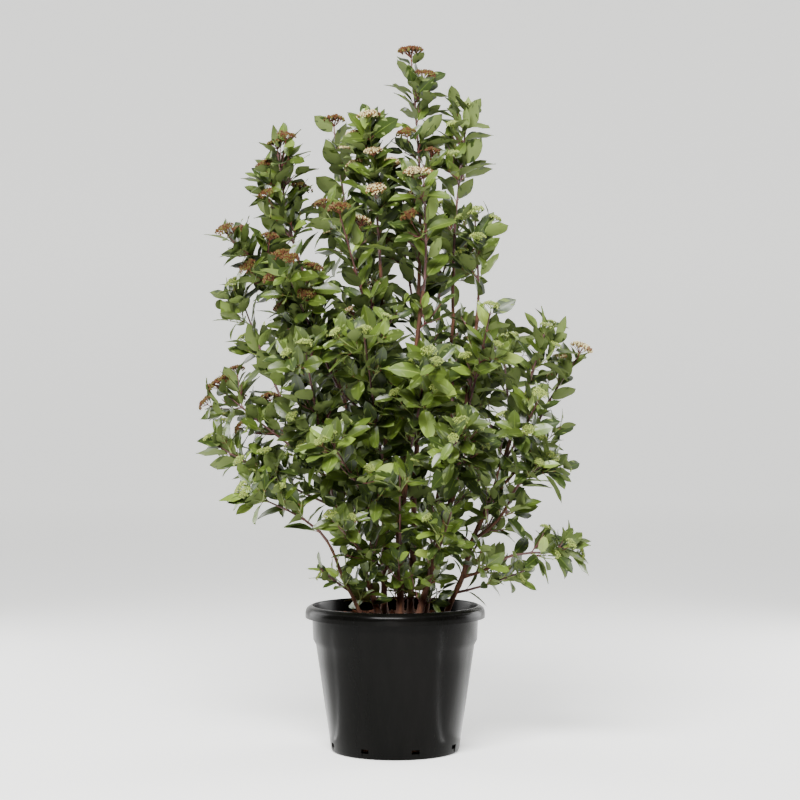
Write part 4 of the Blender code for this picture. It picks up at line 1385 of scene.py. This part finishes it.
@dataclass
class Rule:
    """The rule by which a shoot grows: the source's, carried to finer twigs and smaller leaves."""

    internode: float = 0.041
    first_node: float = 0.026  # from the shoot's foot
    last_node: float = 0.008  # from its tip
    shoot_radius: tuple = (0.0032, 0.0016)
    twig_radius: tuple = (0.0015, 0.0010)
    stick_ends: tuple = (1.15, 0.90)  # a stem's or twig's girth at its foot and tip, beside its even taper
    node_swelling: float = 1.35
    node_spread: float = 0.0022  # how far the swelling runs to each side
    shoot_sides: int = 7
    twig_sides: int = 5
    twig_points: int = 5
    fewest_internodes: int = 3
    sag: float = 0.08  # how far a side shoot's middle hangs, as a share of its reach
    side_middle: float = 0.45
    tip_middle: float = 0.3  # how far ahead of a limb's tip its shoot's curve is drawn, beside its run
    spin_stray: float = 0.12
    twig_angle: float = math.radians(48.0)
    twig_stray: float = 0.12
    twig_lift: float = 0.30
    twig_sag: float = 0.06
    twig_limit: float = 0.84  # how far a twig's tip may lie from its shoot, as a share of the reach
    twig_shortening: float = 0.88  # again and again, until it fits
    shortest_twig: float = 0.02
    leaf_lift: float = 0.13  # how much leaves turn up to the light
    head_room: float = 0.015  # a blooming shoot is shorter by this, for its flower head
    green_head: float = 0.76  # the size of a head that is still green, beside an open one
    russet_share: float = 0.45  # of the heads of a cream shoot
    head_lift: float = 0.5
    head_sizes: tuple = (0.85, 1.12)
    twig_reach: float = 0.80  # a twig's length, as a share of its shoot's reach
    twig_lengths: tuple = (0.75, 1.10)
    twig_share: float = 0.90  # twigs grow from the shoot's foot up to this share of it
    twig_internode: float = 0.033
    twig_first_node: float = 0.75  # in internodes from its foot
    green_twig_share: float = 0.25  # of the twigs of a shoot whose twigs aren't all green
    pair_below_tip: float = 0.003
    limb_twig_gap: float = 0.044  # between the pairs of twigs that clothe a limb
    limb_twig_floor: float = 0.306  # from this height up
    stem_twig_chance: tuple = (0.50, 0.34)  # that a stem's twig is there, low down and higher up
    bough_twig_chance: tuple = (0.90, 0.36)
    limb_twig_middle: float = 0.60  # where low down ends
    limb_twig_lengths: tuple = (0.035, 0.105)
    limb_twig_stray: float = 0.3
    limb_twig_age: float = 0.25
    stem_leaf: float = 0.62  # the size of the leaves on a stem's twigs
    bough_leaf: float = 0.84  # and on a bough's
    fork_length: float = 0.052  # a twig at least this long forks once more
    fork_share: float = 0.48  # of its length
    leaf_angles: tuple = (math.radians(60.0), math.radians(32.0))  # at a shoot's foot and at its tip
    bloom_angle: float = math.radians(62.0)  # of the pair under a flower head
    leaf_stray: tuple = (0.16, 0.14)  # round its twig, and of its angle to it
    leaf_length: float = 0.084
    twig_leaf: float = 0.88  # the size of the leaves on a twig
    tip_leaf: float = 0.70  # and of the newest pair at a tip
    leaf_lessening: float = 0.15  # from a shoot's foot to its tip
    leaf_sizes: tuple = (0.80, 1.15)
    leaf_widths: tuple = (0.92, 1.12)
    leaf_middle: float = 0.6  # where a leaf's middle and tip lie, with its stalk, in its lengths
    leaf_tip: float = 1.1
    leaf_tries: int = 3  # each smaller than the last
    leaf_retry: float = 0.92
    tone_by_age: float = 0.26
    tone_spread: tuple = (0.19, 0.23)  # the middle of a leaf's chance of a younger tone, and its spread
    shade_spread: float = 0.12  # the leaves of one shoot are alike in this
    twig_ages: tuple = (0.8, 0.2, 0.3)  # by its place on its shoot, by a leaf's place on it, and at its tip
    leaf_room: float = 0.019  # kept between the middles of two leaves
    limb_room: float = 0.005
    face_along: float = 0.6
    face_up: float = 0.60
    face_out: float = 0.62
    face_stray: float = 0.62
    outer_limit: float = 1.08  # how far a leaf's tip may lie from its shoot, as a share of the reach
    foliage_floor: float = 0.327  # over the rim
    soil_floor: float = 0.301  # and inside it
    rim_inside: float = 0.155
    crown_axis: Vector = field(default_factory=lambda: Vector((0.0, 0.03, 0.0)))


class Room:
    """Remembers where leaves are, and keeps new ones apart from them and from the limbs."""

    def __init__(self, limbs: dict[str, Limb], rule: Rule) -> None:
        """Takes the limbs as trees that can be asked for their nearest point.

        Args:
            limbs: The laid-out limbs by name.
            rule: The rule with the room that is kept.
        """
        self.rule = rule
        self.cells: dict[tuple[int, int, int], list[Vector]] = {}
        self.limbs = []
        for limb in limbs.values():
            bm = tube(limb.path[::4] + limb.path[-1:], limb.girth[::4] + limb.girth[-1:], 6)
            self.limbs.append(BVHTree.FromBMesh(bm))
            bm.free()

    def _cell(self, point: Vector) -> tuple[int, int, int]:
        """The cell that a point lies in."""
        size = self.rule.leaf_room
        return (math.floor(point.x / size), math.floor(point.y / size), math.floor(point.z / size))

    def free(self, point: Vector) -> bool:
        """Tells whether a leaf's middle keeps its distance to all the others'.

        Args:
            point: The leaf's middle.

        Returns:
            Whether it does.
        """
        x, y, z = self._cell(point)
        near = (
            other
            for i in (x - 1, x, x + 1)
            for j in (y - 1, y, y + 1)
            for k in (z - 1, z, z + 1)
            for other in self.cells.get((i, j, k), ())
        )
        return all((point - other).length > self.rule.leaf_room for other in near)

    def clear(self, points: Iterable[Vector]) -> bool:
        """Whether points keep their distance to every limb."""
        reach = self.rule.limb_room
        return not any(tree.find_nearest(point, reach)[0] for point in points for tree in self.limbs)

    def take(self, point: Vector) -> None:
        """Remembers a leaf's middle."""
        self.cells.setdefault(self._cell(point), []).append(point)


@dataclass
class Harvest:
    """What one zone of the crown has grown."""

    leaves: Gathered = field(default_factory=Gathered)
    twigs: Gathered = field(default_factory=Gathered)
    heads: Gathered = field(default_factory=Gathered)
    nodes: list = field(default_factory=list)


def leaning(along: Vector, turn: float, lean: float) -> Vector:
    """Gives the unit vector that leans away from a twig's direction.

    Args:
        along: The twig's direction.
        turn: Which side of it to lean to.
        lean: How far, as an angle.

    Returns:
        The direction.
    """
    level = Vector((1, 0, 0)) if abs(along.x) < STEEP else Vector((0, 1, 0))
    across = level.cross(along).normalized()
    out = across * math.cos(turn) + along.cross(across) * math.sin(turn)
    return along * math.cos(lean) + out * math.sin(lean)


class Growth:
    """Grows one shoot: its stem, its twigs in opposite pairs, and their leaves and flower heads."""

    def __init__(
        self, shoot: Shoot, rule: Rule, room: Room, harvest: Harvest, leaves: list[Shape], heads: list[Shape],
        seed: int,
    ) -> None:
        """Takes what the shoot grows by and where its growth goes.

        Args:
            shoot: The shoot, with its path laid out.
            rule: The rule it grows by.
            room: Where leaves already are.
            harvest: The zone that takes what grows.
            leaves: The forms of leaf.
            heads: The forms of flower head.
            seed: Sets this shoot's chances apart from the others'.
        """
        self.shoot = shoot
        self.rule = rule
        self.room = room
        self.harvest = harvest
        self.leaf_forms = leaves
        self.head_forms = heads
        self.chance = random.Random(seed)
        self.habit = HABITS[shoot.zone]
        # The zone's painted shade, with a random shift of tone that this shoot's leaves share.
        self.shade = self.habit.shade + self.chance.uniform(-rule.shade_spread, rule.shade_spread)
        self.leaf_scale = self.habit.leaf
        self.green_twigs = self.chance.random() < self.habit.green_twigs

    def _share_of(self, point: Vector) -> float:
        """Gives a point's distance from the line between the shoot's foot and tip.

        Args:
            point: The point.

        Returns:
            The distance as a share of the shoot's reach.
        """
        foot = self.shoot.path[0]
        line = self.shoot.path[-1] - foot
        share = (point - foot).dot(line) / line.length_squared
        return (point - foot - line * min(1.0, max(0.0, share))).length / self.shoot.reach

    def _over_floor(self, point: Vector) -> bool:
        """Tells whether a point clears the pot's rim, or the soil where it is well inside the rim.

        Args:
            point: The point.

        Returns:
            Whether it does.
        """
        rule = self.rule
        inside = point.xy.length < rule.rim_inside
        return point.z > (rule.soil_floor if inside else rule.foliage_floor)

    def _facing(self, base: Vector, along: Vector, direction: Vector) -> Matrix:
        """Gives a leaf's turn: +Y along it, and +Z out of its face, which looks up and out of the crown.

        Args:
            base: The foot of its stalk.
            along: The direction of what carries it.
            direction: The leaf's own direction.

        Returns:
            The turn as a matrix.
        """
        rule = self.rule
        out = base - rule.crown_axis
        out.z = 0.0
        stray = Vector((self.chance.uniform(-1, 1), self.chance.uniform(-1, 1), 0.0)) * rule.face_stray
        wish = along * rule.face_along + UP * rule.face_up + out.normalized() * rule.face_out + stray
        face = (wish - direction * wish.dot(direction)).normalized()
        return Matrix((direction.cross(face), direction, face)).transposed().to_4x4()

    def _tone(self, age: float) -> Tone:
        """Picks a leaf's greens by its age, its zone's painted shade and chance.

        Args:
            age: From 0 for the oldest to 1 for the newest.

        Returns:
            The tone.
        """
        tones = list(Tone)
        place = age * self.rule.tone_by_age + self.shade + self.chance.gauss(*self.rule.tone_spread)
        return tones[min(len(tones) - 1, max(0, int(place * len(tones))))]

    def leaf(self, base: Vector, along: Vector, turn: float, lean: float, size: float, age: float) -> None:
        """Adds a leaf where there is room for it.

        Args:
            base: The foot of its stalk.
            along: The direction of what carries it.
            turn: Which side of that it is on.
            lean: Its angle to that.
            size: Its length, stalk left out, as a share of a full leaf's.
            age: From 0 for the oldest to 1 for the newest.
        """
        rule = self.rule
        turn_stray, lean_stray = rule.leaf_stray
        for _ in range(rule.leaf_tries):
            length = rule.leaf_length * self.leaf_scale * size * self.chance.uniform(*rule.leaf_sizes)
            strayed = turn + self.chance.gauss(0, turn_stray)
            direction = leaning(along, strayed, lean + self.chance.gauss(0, lean_stray))
            direction = (direction + UP * rule.leaf_lift).normalized()
            middle = base + direction * length * rule.leaf_middle
            tip = base + direction * length * rule.leaf_tip
            fits = self._share_of(tip) < rule.outer_limit and self._over_floor(tip)
            if fits and self.room.free(middle) and self.room.clear((middle, tip)):
                break
            size *= rule.leaf_retry
        else:
            return
        self.room.take(middle)
        width = length * self.chance.uniform(*rule.leaf_widths)
        scale = Matrix.Diagonal((width, length, length, 1.0))
        place = Matrix.Translation(base) @ self._facing(base, along, direction) @ scale
        self.harvest.leaves.add(self.chance.choice(self.leaf_forms), place, self._tone(age).value)

    def pair(self, base: Vector, along: Vector, turn: float, lean: float, size: float, age: float) -> None:
        """Adds two opposite leaves at a node."""
        for side in (0.0, math.pi):
            self.leaf(base, along, turn + side, lean, size, age)

    def head(self, top: Vector, along: Vector, size: float) -> None:
        """Adds a flower head on a tip.

        Args:
            top: The tip.
            along: The tip's direction.
            size: The head's size.
        """
        rule = self.rule
        heading = (along + UP * rule.head_lift).normalized()
        turned = UP.rotation_difference(heading).to_matrix().to_4x4()
        spin = Matrix.Rotation(self.chance.uniform(0, math.tau), 4, "Z")
        size *= self.chance.uniform(*rule.head_sizes) * (rule.green_head if self.shoot.buds is LIME else 1.0)
        place = Matrix.Translation(top) @ turned @ spin @ Matrix.Scale(size, 4)
        colours = self.shoot.buds
        if colours is CREAM and self.chance.random() < rule.russet_share:
            colours = RUSSET
        self.harvest.heads.add(self.chance.choice(self.head_forms), place, colours.value)

    def stick(
        self, path: list[Vector], radii: tuple[float, float], nodes: list[float], sides: int, look: TwigLook,
    ) -> None:
        """Adds a stem or twig that swells a little at its nodes.

        Args:
            path: The points it follows.
            radii: Its radius at its foot and at its tip.
            nodes: The shares of its length where leaves spring from it.
            sides: The sides of its rings.
            look: Its bark.
        """
        foot_girth, tip_girth = self.rule.stick_ends
        spread = self.rule.node_spread / run_of(path)
        stops = [(0.0, foot_girth), (1.0, tip_girth)]
        for node in nodes:
            stops += [(node - spread, 1.0), (node, self.rule.node_swelling), (node + spread, 1.0)]
        stops = sorted((share, wide) for share, wide in stops if 0.0 <= share <= 1.0)
        points, girths, reached = [], [], 0.0
        for share, wide in stops:
            if points and share - reached < spread / 2:
                continue
            reached = share
            points.append(point_along(path, share)[0])
            girths.append((radii[0] + (radii[1] - radii[0]) * share) * wide)
        self.harvest.twigs.add(Shape.of(tube(points, girths, sides)), Matrix.Identity(4), [look.value])

    def twig(self, base: Vector, along: Vector, turn: float, length: float, age: float, blooms: bool) -> bool:
        """Adds a side twig with its leaves and a shorter pair of forks.

        Args:
            base: Where it springs from.
            along: The direction of what carries it.
            turn: Which side of that it is on.
            length: How long it would be.
            age: The age of its leaves, from 0 for the oldest to 1 for the newest.
            blooms: Whether it ends in a flower head.

        Returns:
            Whether it found room.
        """
        rule = self.rule
        lean = rule.twig_angle + self.chance.gauss(0, rule.twig_stray)
        direction = (leaning(along, turn, lean) + UP * rule.twig_lift).normalized()
        tip = base + direction * length
        while self._share_of(tip) > rule.twig_limit and length > rule.shortest_twig:
            length *= rule.twig_shortening
            tip = base + direction * length
        far = [base.lerp(tip, 0.5), tip]
        if length < rule.shortest_twig or not self._over_floor(tip) or not self.room.clear(far):
            return False
        sag = UP * length * rule.twig_sag
        path = bowed(base, tip, -sag, rule.twig_points)
        count = max(1, round(length / rule.twig_internode))
        nodes = [(i + rule.twig_first_node) / (count + rule.twig_first_node) for i in range(count)]
        green = self.green_twigs or self.chance.random() < rule.green_twig_share
        self.stick(path, rule.twig_radius, nodes, rule.twig_sides, TwigLook.GREEN if green else TwigLook.RED)
        spin = self.chance.uniform(0, math.pi)
        _, heading = point_along(path, 1.0)
        if blooms:
            self.head(tip, heading, self.habit.twig_head)
        low_lean, high_lean = rule.leaf_angles
        _, along_twig, at_tip = rule.twig_ages
        end = path[-1] - heading * rule.pair_below_tip
        end_lean = rule.bloom_angle if blooms else high_lean
        self.pair(end, heading, spin, end_lean, rule.tip_leaf, min(1.0, age + at_tip))
        for i, share in enumerate(nodes):
            place, going = point_along(path, share)
            spin += math.pi / 2
            lean = low_lean + (high_lean - low_lean) * share
            self.pair(place, going, spin, lean, rule.twig_leaf, age + along_twig * share)
            if i == 0 and length > rule.fork_length:
                for side in (0.0, math.pi):
                    self.twig(place, going, spin + math.pi / 2 + side, length * rule.fork_share, age, False)
        return True

    def grow(self) -> None:
        """Adds the stem and all it carries."""
        rule, shoot = self.rule, self.shoot
        path = shoot.path
        run = run_of(path)
        count = max(rule.fewest_internodes, round((run - rule.first_node - rule.last_node) / rule.internode))
        step = (run - rule.first_node - rule.last_node) / count
        nodes = [(rule.first_node + step * i) / run for i in range(count + 1)]
        self.stick(path, rule.shoot_radius, nodes, rule.shoot_sides, TwigLook.SHOOT)
        turn = self.chance.uniform(0, math.pi)
        tip, along = point_along(path, 1.0)
        blooms_left = shoot.blooms + self.habit.heads
        if shoot.blooms:
            self.head(tip, along, self.habit.tip_head)
            blooms_left -= 1
        low_lean, high_lean = rule.leaf_angles
        for i in reversed(range(len(nodes))):
            share = nodes[i]
            base, along = point_along(path, share)
            spin = turn + i * math.pi / 2 + self.chance.gauss(0, rule.spin_stray)
            newest = i == len(nodes) - 1
            lean = rule.bloom_angle if newest and shoot.blooms else low_lean + (high_lean - low_lean) * share
            size = rule.tip_leaf if newest else 1.0 - rule.leaf_lessening * share
            self.pair(base, along, spin, lean, size, share)
            if share < rule.twig_share and i > 0:
                length = shoot.reach * rule.twig_reach * self.chance.uniform(*rule.twig_lengths)
                for side in (0.0, math.pi):
                    if self.chance.random() > self.habit.fullness * shoot.full:
                        continue
                    age = share * rule.twig_ages[0]
                    grew = self.twig(base, along, spin + side, length, age, blooms_left > 0)
                    if grew and blooms_left > 0:
                        blooms_left -= 1

    def clothe(self, bough: bool) -> None:
        """Adds short leafy twigs in opposite pairs to a limb, whose path stands in for a shoot's.

        Args:
            bough: Whether the limb is a bough, which is leafier than a stem.
        """
        rule, path = self.rule, self.shoot.path
        self.leaf_scale = rule.bough_leaf if bough else rule.stem_leaf
        chances = rule.bough_twig_chance if bough else rule.stem_twig_chance
        run = run_of(path)
        for i in range(1, int(run / rule.limb_twig_gap)):
            base, along = point_along(path, i * rule.limb_twig_gap / run)
            if base.z < rule.limb_twig_floor:
                continue
            spin = i * math.pi / 2 + self.chance.gauss(0, rule.limb_twig_stray)
            chance_here = chances[base.z > rule.limb_twig_middle]
            for side in (0.0, math.pi):
                if self.chance.random() < chance_here:
                    length = self.chance.uniform(*rule.limb_twig_lengths)
                    self.twig(base, along, spin + side, length, rule.limb_twig_age, False)


@dataclass
class Crown:
    """All the shoots, and the pieces that their leaves, twigs and flower heads are joined into."""

    rule: Rule = field(default_factory=Rule)
    first_seed: int = 100
    path_points: int = 9
    head_forms: int = 5
    limb_reach: float = 0.11  # how far the twigs that clothe a limb may go from it
    sharp_leaf: float = 50.0  # degrees, as are the next two
    sharp_twig: float = 70.0
    sharp_head: float = 30.0

    def lay_out(self, limbs: dict[str, Limb]) -> None:
        """Gives each shoot its path, a curve from its limb to its tip.

        Args:
            limbs: The laid-out limbs by name.
        """
        for shoot in SHOOTS:
            limb = limbs[shoot.limb]
            tip = Vector(shoot.tip) - UP * (self.rule.head_room if shoot.blooms else 0.0)
            if shoot.height:
                foot, _, _ = point_at_height(limb.path, shoot.height)
                middle = foot.lerp(tip, self.rule.side_middle) - UP * self.rule.sag * shoot.reach
                control = middle * 2.0 - (foot + tip) * 0.5
            else:
                foot = limb.path[-1]
                ahead = (limb.path[-1] - limb.path[-2]).normalized()
                control = foot + ahead * (tip - foot).length * self.rule.tip_middle
            shares = [i / (self.path_points - 1) for i in range(self.path_points)]
            shoot.path = [foot.lerp(control, t).lerp(control.lerp(tip, t), t) for t in shares]

    def build(self, limbs: dict[str, Limb]) -> list[bpy.types.Object]:
        """Grows every shoot and joins what grew by zone and kind.

        Args:
            limbs: The laid-out limbs by name.

        Returns:
            The pieces.
        """
        self.lay_out(limbs)
        room = Room(limbs, self.rule)
        leaves = [form.shape() for form in LEAF_FORMS]
        heads = [FlowerHead(seed=i).shape() for i in range(self.head_forms)]
        harvests = {zone: Harvest() for zone in Zone}
        for number, shoot in enumerate(SHOOTS):
            harvest = harvests[shoot.zone]
            harvest.nodes.append(shoot.name)
            Growth(shoot, self.rule, room, harvest, leaves, heads, self.first_seed + number).grow()
        for number, limb in enumerate(limbs.values()):
            zone = next(shoot.zone for shoot in SHOOTS if shoot.limb == limb.name)
            cover = Shoot(limb.name, limb.name, 0, limb.tip, self.limb_reach, 0, zone, LIME, path=limb.path)
            seed = self.first_seed + len(SHOOTS) + number
            Growth(cover, self.rule, room, harvests[zone], leaves, heads, seed).clothe(bool(limb.parent))

        leaf_looks = [finish.material() for finish in LEAF_FINISHES]
        twig_looks = [finish.material() for finish in TWIG_FINISHES]
        bud_looks = [finish.material() for finish in BUD_FINISHES]
        pieces = []
        for zone, harvest in harvests.items():
            kinds = (
                ("leaves", harvest.leaves, leaf_looks, self.sharp_leaf, harvest.nodes),
                ("twigs", harvest.twigs, twig_looks, self.sharp_twig, []),
                ("flower_heads", harvest.heads, bud_looks, self.sharp_head, []),
            )
            for kind, gathered, looks, sharp, nodes in kinds:
                if not gathered.copies:
                    continue
                piece = gathered.piece(f"{kind}_{zone.value}", looks, sharp)
                declare(piece, nodes)
                pieces.append(piece)
                LOG.info("%s: %d copies", piece.name, gathered.copies)
        return pieces


# ---- Studio ----
PAPER = Finish(
    "seamless_paper", "#f6f6f4", roughness=(0.85, 0.95), grain_mm=3.0, relief_mm=0.0, specular=0.1)
CLOTH = Finish(
    "black_molton_cloth", "#0a0a0a", roughness=(0.95, 1.0), grain_mm=3.0, relief_mm=0.0, specular=0.0)


@dataclass
class Studio:
    """A pale floor that curves up all round, soft panels, and a camera level with the plant's middle."""

    camera_place: tuple = (0.0107, -4.5, 0.78)
    lens: float = 90.75  # millimetres, as is the sensor
    sensor: float = 36.0
    floor_radius: float = 11.0  # out to the curve
    curve_radius: float = 2.0
    curve_steps: int = 16
    wall_height: float = 5.0
    turns: int = 96
    glow: float = 0.45  # the paper is lit from behind
    sky: float = 0.70
    panels: tuple = (  # place, size, power, each aimed at the plant's middle
        ((-0.6, -2.8, 3.3), (2.2, 1.0), 470.0),
        ((-2.5, 1.5, 1.1), (1.7, 2.2), 80.0),
        ((2.5, 1.5, 1.1), (1.9, 2.2), 110.0),
    )
    glints: tuple = (  # turn from the front, width and power of the strips on the floor that the pot mirrors
        (math.radians(62.0), 0.02, 0.6),
        (math.radians(120.0), 0.40, 1.6),
        (math.radians(-92.0), 0.02, 0.6),
        (math.radians(-130.0), 0.30, 0.9),
    )
    glint_reach: tuple = (0.20, 0.95)  # from the pot's middle
    glint_level: float = 0.004
    curtain_radius: float = 5.6
    curtain_height: float = 4.6
    curtain_reach: float = math.radians(100.0)  # to each side of the camera
    aim: tuple = (0.0, 0.0, 0.8)
    sharp: float = 60.0  # degrees

    def _floor(self) -> None:
        """Lays the floor under the pot, and turns its edge up into a low wall."""
        bm = bmesh.new()
        section = [Vector((0.0, 0.0, 0.0)), Vector((self.floor_radius / 2, 0.0, 0.0))]
        for i in range(self.curve_steps + 1):
            turn = math.pi / 2 * i / self.curve_steps
            out = self.floor_radius + self.curve_radius * math.sin(turn)
            section.append(Vector((out, 0.0, self.curve_radius * (1.0 - math.cos(turn)))))
        section.append(section[-1] + Vector((0.0, 0.0, self.wall_height)))
        points = [bm.verts.new(point) for point in section]
        line = [bm.edges.new(ends) for ends in zip(points, points[1:])]
        bmesh.ops.spin(
            bm, geom=points + line, cent=(0.0, 0.0, 0.0), axis=(0.0, 0.0, 1.0), angle=math.tau,
            steps=self.turns, use_merge=True,
        )
        bmesh.ops.remove_doubles(bm, verts=bm.verts, dist=WELD)
        bmesh.ops.recalc_face_normals(bm, faces=bm.faces)
        paper = PAPER.material()
        shader = next(node for node in paper.node_tree.nodes if node.type == "BSDF_PRINCIPLED")
        shader.inputs["Emission Color"].default_value = linear(PAPER.colour)
        shader.inputs["Emission Strength"].default_value = self.glow
        finished("studio_floor", meshed("studio_floor", bm), [paper], self.sharp)

    def _curtain(self) -> None:
        """Hangs black cloth round the camera's side, so that only the sides of things mirror white."""
        bm = bmesh.new()
        start = Matrix.Rotation(-self.curtain_reach, 4, "Z") @ Vector((0.0, -self.curtain_radius, 0.0))
        ends = [bm.verts.new(start + UP * height) for height in (0.0, self.curtain_height)]
        hem = bm.edges.new(ends)
        bmesh.ops.spin(
            bm, geom=ends + [hem], cent=(0.0, 0.0, 0.0), axis=(0.0, 0.0, 1.0),
            angle=2 * self.curtain_reach, steps=self.turns // 2)
        made = finished("studio_curtain", meshed("studio_curtain", bm), [CLOTH.material()], self.sharp)
        made.visible_camera = False

    def _panel(self, number: int, place: Sequence[float], size: Sequence[float], power: float) -> None:
        """Hangs one light panel and turns it to the plant.

        Args:
            number: Its number, for its name.
            place: Where its middle is.
            size: Its width and height.
            power: Its power in watts.
        """
        light = bpy.data.lights.new(f"panel_{number}", "AREA")
        light.shape = "RECTANGLE"
        light.size, light.size_y = size
        light.energy = power
        made = bpy.data.objects.new(light.name, light)
        heading = Vector(self.aim) - Vector(place)
        made.matrix_world = Matrix.Translation(place) @ heading.to_track_quat("-Z", "Y").to_matrix().to_4x4()
        made.visible_camera = False
        bpy.context.scene.collection.objects.link(made)

    def _glint(self, number: int, turn: float, width: float, power: float) -> None:
        """Lays one strip of light on the floor, facing up and out from the pot, that only shows mirrored.

        Args:
            number: Its number, for its name.
            turn: Its place about the pot, from the front.
            width: Its width.
            power: Its power in watts.
        """
        near, far = self.glint_reach
        light = bpy.data.lights.new(f"glint_{number}", "AREA")
        light.shape = "RECTANGLE"
        light.size, light.size_y = width, far - near
        light.energy = power
        made = bpy.data.objects.new(light.name, light)
        place = Matrix.Translation((0.0, -(near + far) / 2, self.glint_level))
        made.matrix_world = Matrix.Rotation(turn, 4, "Z") @ place @ Matrix.Rotation(math.pi, 4, "Y")
        made.visible_camera = False
        made.visible_diffuse = False
        bpy.context.scene.collection.objects.link(made)

    def build(self) -> None:
        """Sets up the floor, the lights and the camera."""
        self._floor()
        self._curtain()
        for number, (turn, width, power) in enumerate(self.glints):
            self._glint(number, turn, width, power)
        for number, (place, size, power) in enumerate(self.panels):
            self._panel(number, place, size, power)
        world = bpy.data.worlds.new("white_room")
        world.use_nodes = True
        background = world.node_tree.nodes["Background"]
        background.inputs["Color"].default_value = (1.0, 1.0, 1.0, 1.0)
        background.inputs["Strength"].default_value = self.sky
        bpy.context.scene.world = world
        lens = bpy.data.cameras.new("camera")
        lens.lens = self.lens
        lens.sensor_width = self.sensor
        camera = bpy.data.objects.new("camera", lens)
        camera.matrix_world = Matrix.Translation(self.camera_place) @ Matrix.Rotation(math.pi / 2, 4, "X")
        bpy.context.scene.collection.objects.link(camera)
        bpy.context.scene.camera = camera


def corners(bounds: Iterable[Sequence[float]]) -> list[list[float]]:
    """Turns a box's two corners to plain lists of rounded numbers."""
    return [[round(float(value), 5) for value in corner] for corner in bounds]


def main() -> None:
    """Builds the potted plant piece by piece."""
    logging.basicConfig(level=logging.INFO, format="%(name)s: %(message)s")
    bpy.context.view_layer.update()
    Studio().build()
    Pot().build()
    Soil().build()
    framework = Framework()
    limbs = framework.lay_out()
    framework.build(limbs)
    Crown().build(limbs)


if __name__ == "__main__":
    main()
